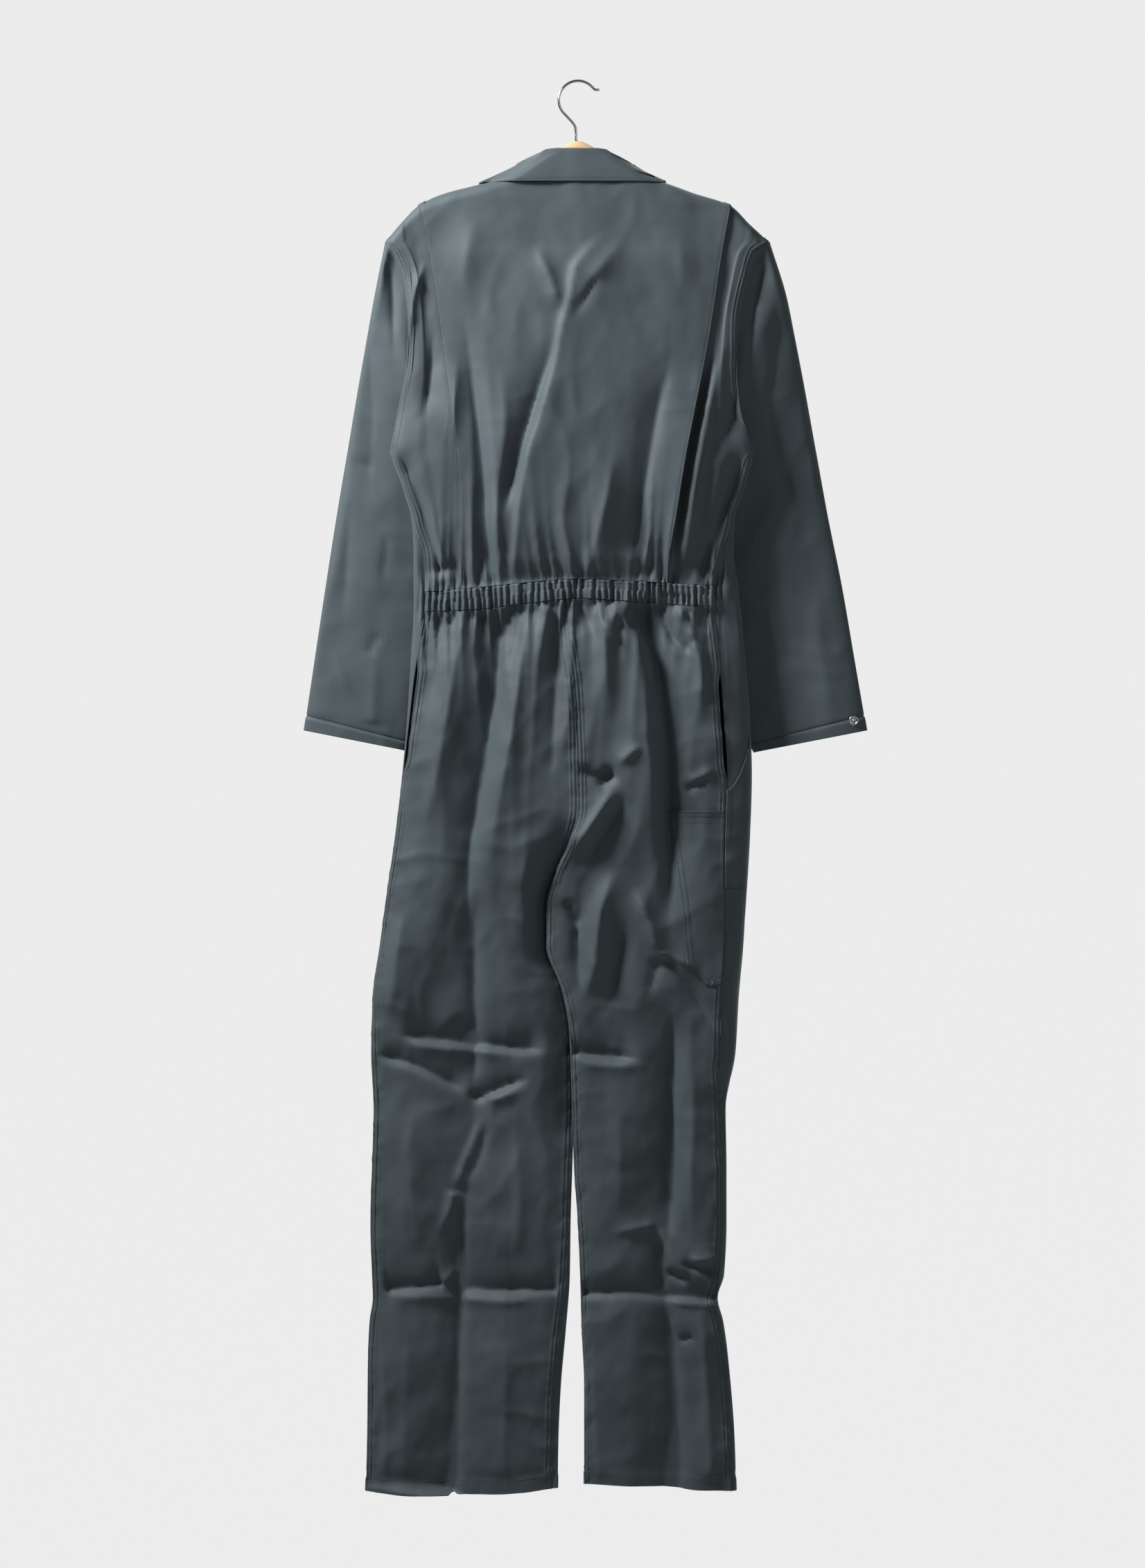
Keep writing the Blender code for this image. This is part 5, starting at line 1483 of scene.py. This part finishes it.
def stitch_tree(material):
    """Threads along the edges of a mesh: a short bar at every stitch."""
    tree = bpy.data.node_groups.new("Stitches", "GeometryNodeTree")
    tree.interface.new_socket(name="Line", in_out="INPUT", socket_type="NodeSocketGeometry")
    for name in ("Spacing", "Length", "Radius"):
        tree.interface.new_socket(name=name, in_out="INPUT", socket_type="NodeSocketFloat")
    tree.interface.new_socket(name="Threads", in_out="OUTPUT", socket_type="NodeSocketGeometry")
    nodes, link = tree.nodes, tree.links.new
    given, result = nodes.new("NodeGroupInput"), nodes.new("NodeGroupOutput")
    curve, points = nodes.new("GeometryNodeMeshToCurve"), nodes.new("GeometryNodeCurveToPoints")
    points.mode = "LENGTH"
    bar = nodes.new("GeometryNodeMeshCylinder")
    bar.inputs["Vertices"].default_value = 6
    place, real = nodes.new("GeometryNodeInstanceOnPoints"), nodes.new("GeometryNodeRealizeInstances")
    paint, smooth = nodes.new("GeometryNodeSetMaterial"), nodes.new("GeometryNodeSetShadeSmooth")
    paint.inputs["Material"].default_value = material
    link(given.outputs["Line"], curve.inputs["Mesh"])
    link(curve.outputs["Curve"], points.inputs["Curve"])
    link(given.outputs["Spacing"], points.inputs["Length"])
    link(given.outputs["Length"], bar.inputs["Depth"])
    link(given.outputs["Radius"], bar.inputs["Radius"])
    link(points.outputs["Points"], place.inputs["Points"])
    link(points.outputs["Rotation"], place.inputs["Rotation"])
    link(bar.outputs["Mesh"], place.inputs["Instance"])
    link(place.outputs["Instances"], real.inputs["Geometry"])
    link(real.outputs["Geometry"], smooth.inputs["Geometry"])
    link(smooth.outputs["Geometry"], paint.inputs["Geometry"])
    link(paint.outputs["Geometry"], result.inputs["Threads"])
    return tree


def make_stitches(name, prefixes, thread):
    """The threads of every line of stitches whose name starts with one of the prefixes."""
    lines = [line for key, line in STITCHED.items() if key.startswith(prefixes)]
    points, edges = [], []
    for line in lines:
        start = len(points)
        points += line.tolist()
        edges += [(start + n, start + n + 1) for n in range(len(line) - 1)]
    mesh = bpy.data.meshes.new(name)
    mesh.from_pydata(points, edges, [])
    guide = bpy.data.objects.new(name, mesh)
    bpy.context.scene.collection.objects.link(guide)
    tree = stitch_tree(thread)
    modifier = guide.modifiers.new("Stitches", "NODES")
    modifier.node_group = tree
    sizes = settings().stitches
    sockets = {item.name: item.identifier for item in tree.interface.items_tree if item.in_out == "INPUT"}
    modifier[sockets["Spacing"]] = sizes.spacing
    modifier[sockets["Length"]] = sizes.length
    modifier[sockets["Radius"]] = sizes.radius
    bpy.context.view_layer.update()
    graph = bpy.context.evaluated_depsgraph_get()
    threads = bpy.data.meshes.new_from_object(guide.evaluated_get(graph), depsgraph=graph)
    guide.modifiers.clear()
    guide.data = threads
    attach(guide, "root")
    return guide


# --- Materials ------------------------------------------------------------------------------


class Value:
    """A shader socket on which Python's operators add Math nodes."""

    def __init__(self, shader, socket):
        self.shader, self.socket = shader, socket

    def math(self, operation, *others):
        node = self.shader.add("ShaderNodeMath", {"operation": operation}, dict(enumerate((self, *others))))
        return Value(self.shader, node.outputs[0])

    def __add__(self, other):
        return self.math("ADD", other)

    def __mul__(self, other):
        return self.math("MULTIPLY", other)

    def __sub__(self, other):
        return self.math("SUBTRACT", other)

    def __rsub__(self, other):
        return (self * -1).math("ADD", other)

    __radd__, __rmul__ = __add__, __mul__


class Shader:
    """A material, and short ways to add to its nodes."""

    def __init__(self, name, **constants):
        self.material = bpy.data.materials.new(name)
        self.material.use_nodes = True
        self.tree = self.material.node_tree
        self.surface = self.tree.nodes["Principled BSDF"]
        for socket, value in constants.items():
            self.surface.inputs[socket.replace("_", " ")].default_value = value

    def add(self, kind, options=None, inputs=None):
        """A node of that kind, with its options set first and then its sockets."""
        node = self.tree.nodes.new(kind)
        for name, value in (options or {}).items():
            if name == "stops":
                for element, (place, colour) in zip(node.color_ramp.elements, value):
                    element.position, element.color = place, (*colour, 1)
            else:
                setattr(node, name, value)
        for name, value in (inputs or {}).items():
            socket = node.inputs[name]
            if isinstance(value, Value):
                self.tree.links.new(value.socket, socket)
            else:
                socket.default_value = value
        return node

    def place(self, scale=(1, 1, 1), turn=(0, 0, 0)):
        """Object coordinates, scaled and turned."""
        where = self.add("ShaderNodeTexCoord").outputs["Object"]
        inputs = {"Vector": Value(self, where), "Rotation": turn, "Scale": scale}
        node = self.add("ShaderNodeMapping", {}, inputs)
        return Value(self, node.outputs["Vector"])

    def noise(self, where, scale, detail=3.0, roughness=0.5):
        inputs = {"Vector": where, "Scale": scale, "Detail": detail, "Roughness": roughness}
        return Value(self, self.add("ShaderNodeTexNoise", {}, inputs).outputs["Fac"])

    def wave(self, where, scale, distortion=0.0):
        inputs = {"Vector": where, "Scale": scale, "Distortion": distortion, "Detail": 2.0}
        return Value(self, self.add("ShaderNodeTexWave", {"wave_profile": "SIN"}, inputs).outputs["Fac"])

    def mix(self, factor, one, other):
        inputs = {0: factor, 6: one, 7: other}
        return Value(self, self.add("ShaderNodeMix", {"data_type": "RGBA"}, inputs).outputs[2])

    def bump(self, height, strength, distance):
        inputs = {"Height": height, "Strength": strength, "Distance": distance}
        return Value(self, self.add("ShaderNodeBump", {}, inputs).outputs["Normal"])

    def finish(self, **links):
        for socket, value in links.items():
            self.tree.links.new(value.socket, self.surface.inputs[socket.replace("_", " ")])
        return self.material


def shade(colour, amount):
    return tuple(min(1.0, part * amount) for part in colour[:3]) + (1.0,)


def twill_material(name="Twill"):
    """Slate work twill: fine diagonal ribs, a soft lustre and faint wash marks."""
    cloth = settings().cloth
    colour = tuple(cloth.colour)
    shader = Shader(name, Sheen_Weight=0.25, Sheen_Roughness=0.45)
    shader.surface.inputs["Sheen Tint"].default_value = (0.75, 0.85, 0.9, 1)
    where = shader.place()
    broad = shader.noise(where, 6.0, 2.0)
    fibre = shader.noise(shader.place((1, 1, 0.35)), 900.0, 2.0, 0.7)
    washed = shader.noise(shader.place((1, 1, 0.5)), 45.0, 3.0, 0.6)
    mottle = broad * 0.3 + washed * 0.35 + fibre * 0.35
    base = shader.mix(mottle, shade(colour, 0.72), shade(colour, 1.28))
    rough = 0.06 * washed + (cloth.roughness - 0.03)
    ribs = shader.wave(shader.place(turn=(0, math.radians(62), 0)), 1 / cloth.weave / 20 * 2 * math.pi, 0.2)
    height = ribs * 0.6 + fibre * 0.5
    normal = shader.bump(height, 0.35, 0.15 * MM)
    return shader.finish(Base_Color=base, Roughness=rough, Normal=normal)


def thread_material():
    # The thread colour is darker than the twill: partly the thread's own colour, partly painted shade for
    # the shadows along the stitches.
    colour = tuple(settings().cloth.thread)
    shader = Shader("Thread", Sheen_Weight=0.2)
    ply = shader.noise(shader.place(), 1400.0, 1.0)
    base = shader.mix(ply, shade(colour, 0.8), shade(colour, 1.25))
    return shader.finish(Base_Color=base, Roughness=0.1 * ply + 0.5)


def wood_material():
    """Clear-lacquered pale wood with long grain along the bow."""
    colour = tuple(settings().hanger.wood)
    shader = Shader("Wood", Coat_Roughness=0.18, Coat_Weight=0.35)
    along = shader.place((6, 60, 90))
    figure = shader.noise(along, 4.0, 5.0, 0.6)
    rings = shader.wave(shader.place((0.4, 3, 5), (0, 0.05, 0)), 9.0, 5.0)
    grain = figure * 0.7 + rings * 0.3
    base = shader.mix(grain, shade(colour, 0.78), shade(colour, 1.12))
    normal = shader.bump(grain, 0.15, 0.2 * MM)
    return shader.finish(Base_Color=base, Roughness=0.12 * figure + 0.3, Normal=normal)


def metal_material(name, colour, roughness):
    shader = Shader(name, Metallic=1.0)
    marks = shader.noise(shader.place(), 260.0, 4.0, 0.6)
    base = shader.mix(marks, shade(colour, 0.92), shade(colour, 1.05))
    normal = shader.bump(marks, 0.08, 0.05 * MM)
    return shader.finish(Base_Color=base, Roughness=0.12 * marks + roughness, Normal=normal)


# --- Stage ----------------------------------------------------------------------------------


def plain_sheet(name, corners, colour, glow=0.0):
    made = new_object(name, corners, [(0, 1, 2, 3)])
    shader = Shader(name, Base_Color=(*colour, 1), Roughness=0.9)
    shader.surface.inputs["Emission Color"].default_value = (1, 1, 1, 1)
    shader.surface.inputs["Emission Strength"].default_value = glow
    made.data.materials.append(shader.material)
    return made


def area_light(name, place, aim, size, power, colour=(1, 1, 1)):
    lamp = bpy.data.lights.new(name, "AREA")
    lamp.shape, lamp.size, lamp.size_y = "RECTANGLE", *size
    lamp.energy, lamp.color = power, colour
    made = bpy.data.objects.new(name, lamp)
    made.location = place
    made.rotation_euler = (Vector(aim) - Vector(place)).to_track_quat("-Z", "Y").to_euler()
    bpy.context.scene.collection.objects.link(made)
    return made


def make_stage():
    stage = settings().stage
    low, high = np.array(CAD_BOUNDS[0]), np.array(CAD_BOUNDS[1])
    floor = low[2] - 4.0
    wide, back, near, top = 18.0, 9.0, -9.0, 9.0
    ground = [(-wide, near, floor), (wide, near, floor), (wide, back, floor), (-wide, back, floor)]
    plain_sheet("floor", ground, (0.8,) * 3, 0.1)
    wall = [(-wide, back, floor), (wide, back, floor), (wide, back, top), (-wide, back, top)]
    plain_sheet("backdrop", wall, (0.02,) * 3, stage.backdrop)

    camera = bpy.data.cameras.new("camera")
    camera.sensor_fit = "VERTICAL"
    camera.sensor_height = 24
    camera.lens = 24 * stage.distance / stage.picture
    made = bpy.data.objects.new("camera", camera)
    made.location = (stage.across, -stage.distance, stage.level)
    made.rotation_euler = (math.radians(90), 0, 0)
    bpy.context.scene.collection.objects.link(made)
    bpy.context.scene.camera = made

    middle = (low + high) / 2
    area_light("key", (-1.4, -0.72, 0.75), (0.0, 0, -0.5), (0.5, 0.6), 68)
    area_light("fill", (1.6, -4.0, 0.9), tuple(middle), (2.4, 2.4), 16)
    area_light("rim", (2.2, -0.7, -0.3), tuple(middle), (0.6, 1.8), 3)
    world = bpy.data.worlds.new("studio")
    world.use_nodes = True
    world.node_tree.nodes["Background"].inputs["Color"].default_value = (1, 1, 1, 1)
    world.node_tree.nodes["Background"].inputs["Strength"].default_value = 0.05
    bpy.context.scene.world = world
    bpy.context.scene.view_settings.view_transform = "Standard"


# --- Operators ------------------------------------------------------------------------------


def found_material(name, make):
    return bpy.data.materials.get(name) or make()


def twill():
    return found_material("Twill", twill_material)


class SUIT_OT_form(Operator):
    """Works out the distances round each half of the form"""

    bl_idname = "suit.form"
    bl_label = "Form"

    def execute(self, context):
        for side in ("left", "right"):
            for face in (-1, 1):
                ROUNDS[side, face] = Round(side, face)
        return {"FINISHED"}


class SUIT_OT_back(Operator):
    """Makes the back: its centre panel, its two pleated sides and the waistband"""

    bl_idname = "suit.back"
    bl_label = "Back"

    def execute(self, context):
        make_back_centre(twill())
        make_back_side("left", twill())
        make_back_side("right", twill())
        make_waistband(twill())
        return {"FINISHED"}


class SUIT_OT_legs(Operator):
    """Makes the backs of the two legs"""

    bl_idname = "suit.legs"
    bl_label = "Legs"

    def execute(self, context):
        make_leg_back("left", twill())
        make_leg_back("right", twill())
        return {"FINISHED"}


class SUIT_OT_fronts(Operator):
    """Makes the two fronts and the placket between them"""

    bl_idname = "suit.fronts"
    bl_label = "Fronts"

    def execute(self, context):
        make_front("left", twill())
        make_front("right", twill())
        make_placket(twill())
        return {"FINISHED"}


class SUIT_OT_sleeves(Operator):
    """Makes the two sleeves"""

    bl_idname = "suit.sleeves"
    bl_label = "Sleeves"

    def execute(self, context):
        make_sleeve("left", twill())
        make_sleeve("right", twill())
        return {"FINISHED"}


class SUIT_OT_collar(Operator):
    """Makes the collar"""

    bl_idname = "suit.collar"
    bl_label = "Collar"

    def execute(self, context):
        make_collar(twill())
        return {"FINISHED"}


class SUIT_OT_pockets(Operator):
    """Makes the hip pockets and the tool pocket"""

    bl_idname = "suit.pockets"
    bl_label = "Pockets"

    def execute(self, context):
        make_hip_pocket("left", twill())
        make_hip_pocket("right", twill())
        make_tool_pocket(twill())
        return {"FINISHED"}


class SUIT_OT_stitches(Operator):
    """Sews every seam, hem and patch"""

    bl_idname = "suit.stitches"
    bl_label = "Stitches"

    def execute(self, context):
        thread = found_material("Thread", thread_material)
        make_stitches("body_stitches", ("pleat", "armhole", "band", "collar", "placket"), thread)
        make_stitches("leg_stitches", ("side", "inner", "hem", "front hem", "cuff"), thread)
        make_stitches("pocket_stitches", ("hip pocket", "tool pocket"), thread)
        return {"FINISHED"}


class SUIT_OT_hanger(Operator):
    """Makes the hanger's wooden bow and its hook"""

    bl_idname = "suit.hanger"
    bl_label = "Hanger"

    def execute(self, context):
        make_hanger(found_material("Wood", wood_material))
        make_hook(metal_material("Chrome", (0.78, 0.79, 0.8), 0.1))
        return {"FINISHED"}


class SUIT_OT_snap(Operator):
    """Makes the ring of the cuff's snap"""

    bl_idname = "suit.snap"
    bl_label = "Snap"

    def execute(self, context):
        make_snap(metal_material("Nickel", (0.62, 0.62, 0.6), 0.22))
        return {"FINISHED"}


class SUIT_OT_stage(Operator):
    """Makes the floor, the backdrop, the lights and the camera"""

    bl_idname = "suit.stage"
    bl_label = "Stage"

    def execute(self, context):
        make_stage()
        return {"FINISHED"}


class SUIT_PT_panel(Panel):
    """Lists the suit's operators and settings"""

    bl_label = "Boiler Suit"
    bl_idname = "SUIT_PT_panel"
    bl_space_type = "VIEW_3D"
    bl_region_type = "UI"
    bl_category = "Boiler Suit"

    def draw(self, context):
        for operator in OPERATORS:
            self.layout.operator(operator.bl_idname)
        suit = context.scene.boiler_suit
        for group in (suit.cloth, suit.folds, suit.stitches, suit.hanger, suit.stage):
            box = self.layout.box()
            for name in group.bl_rna.properties.keys():
                if name not in ("name", "rna_type"):
                    box.prop(group, name)


OPERATORS = (
    SUIT_OT_form,
    SUIT_OT_back,
    SUIT_OT_legs,
    SUIT_OT_fronts,
    SUIT_OT_sleeves,
    SUIT_OT_collar,
    SUIT_OT_pockets,
    SUIT_OT_stitches,
    SUIT_OT_hanger,
    SUIT_OT_snap,
    SUIT_OT_stage,
)
GROUPS = (ClothSettings, FoldSettings, StitchSettings, HangerSettings, StageSettings, BoilerSuitSettings)


def register():
    for part in (*GROUPS, *OPERATORS, SUIT_PT_panel):
        bpy.utils.register_class(part)
    bpy.types.Scene.boiler_suit = PointerProperty(type=BoilerSuitSettings)


def unregister():
    del bpy.types.Scene.boiler_suit
    for part in reversed((*GROUPS, *OPERATORS, SUIT_PT_panel)):
        bpy.utils.unregister_class(part)


def main():
    register()
    for operator in OPERATORS:
        group, name = operator.bl_idname.split(".")
        getattr(getattr(bpy.ops, group), name)()


if __name__ == "__main__":
    main()
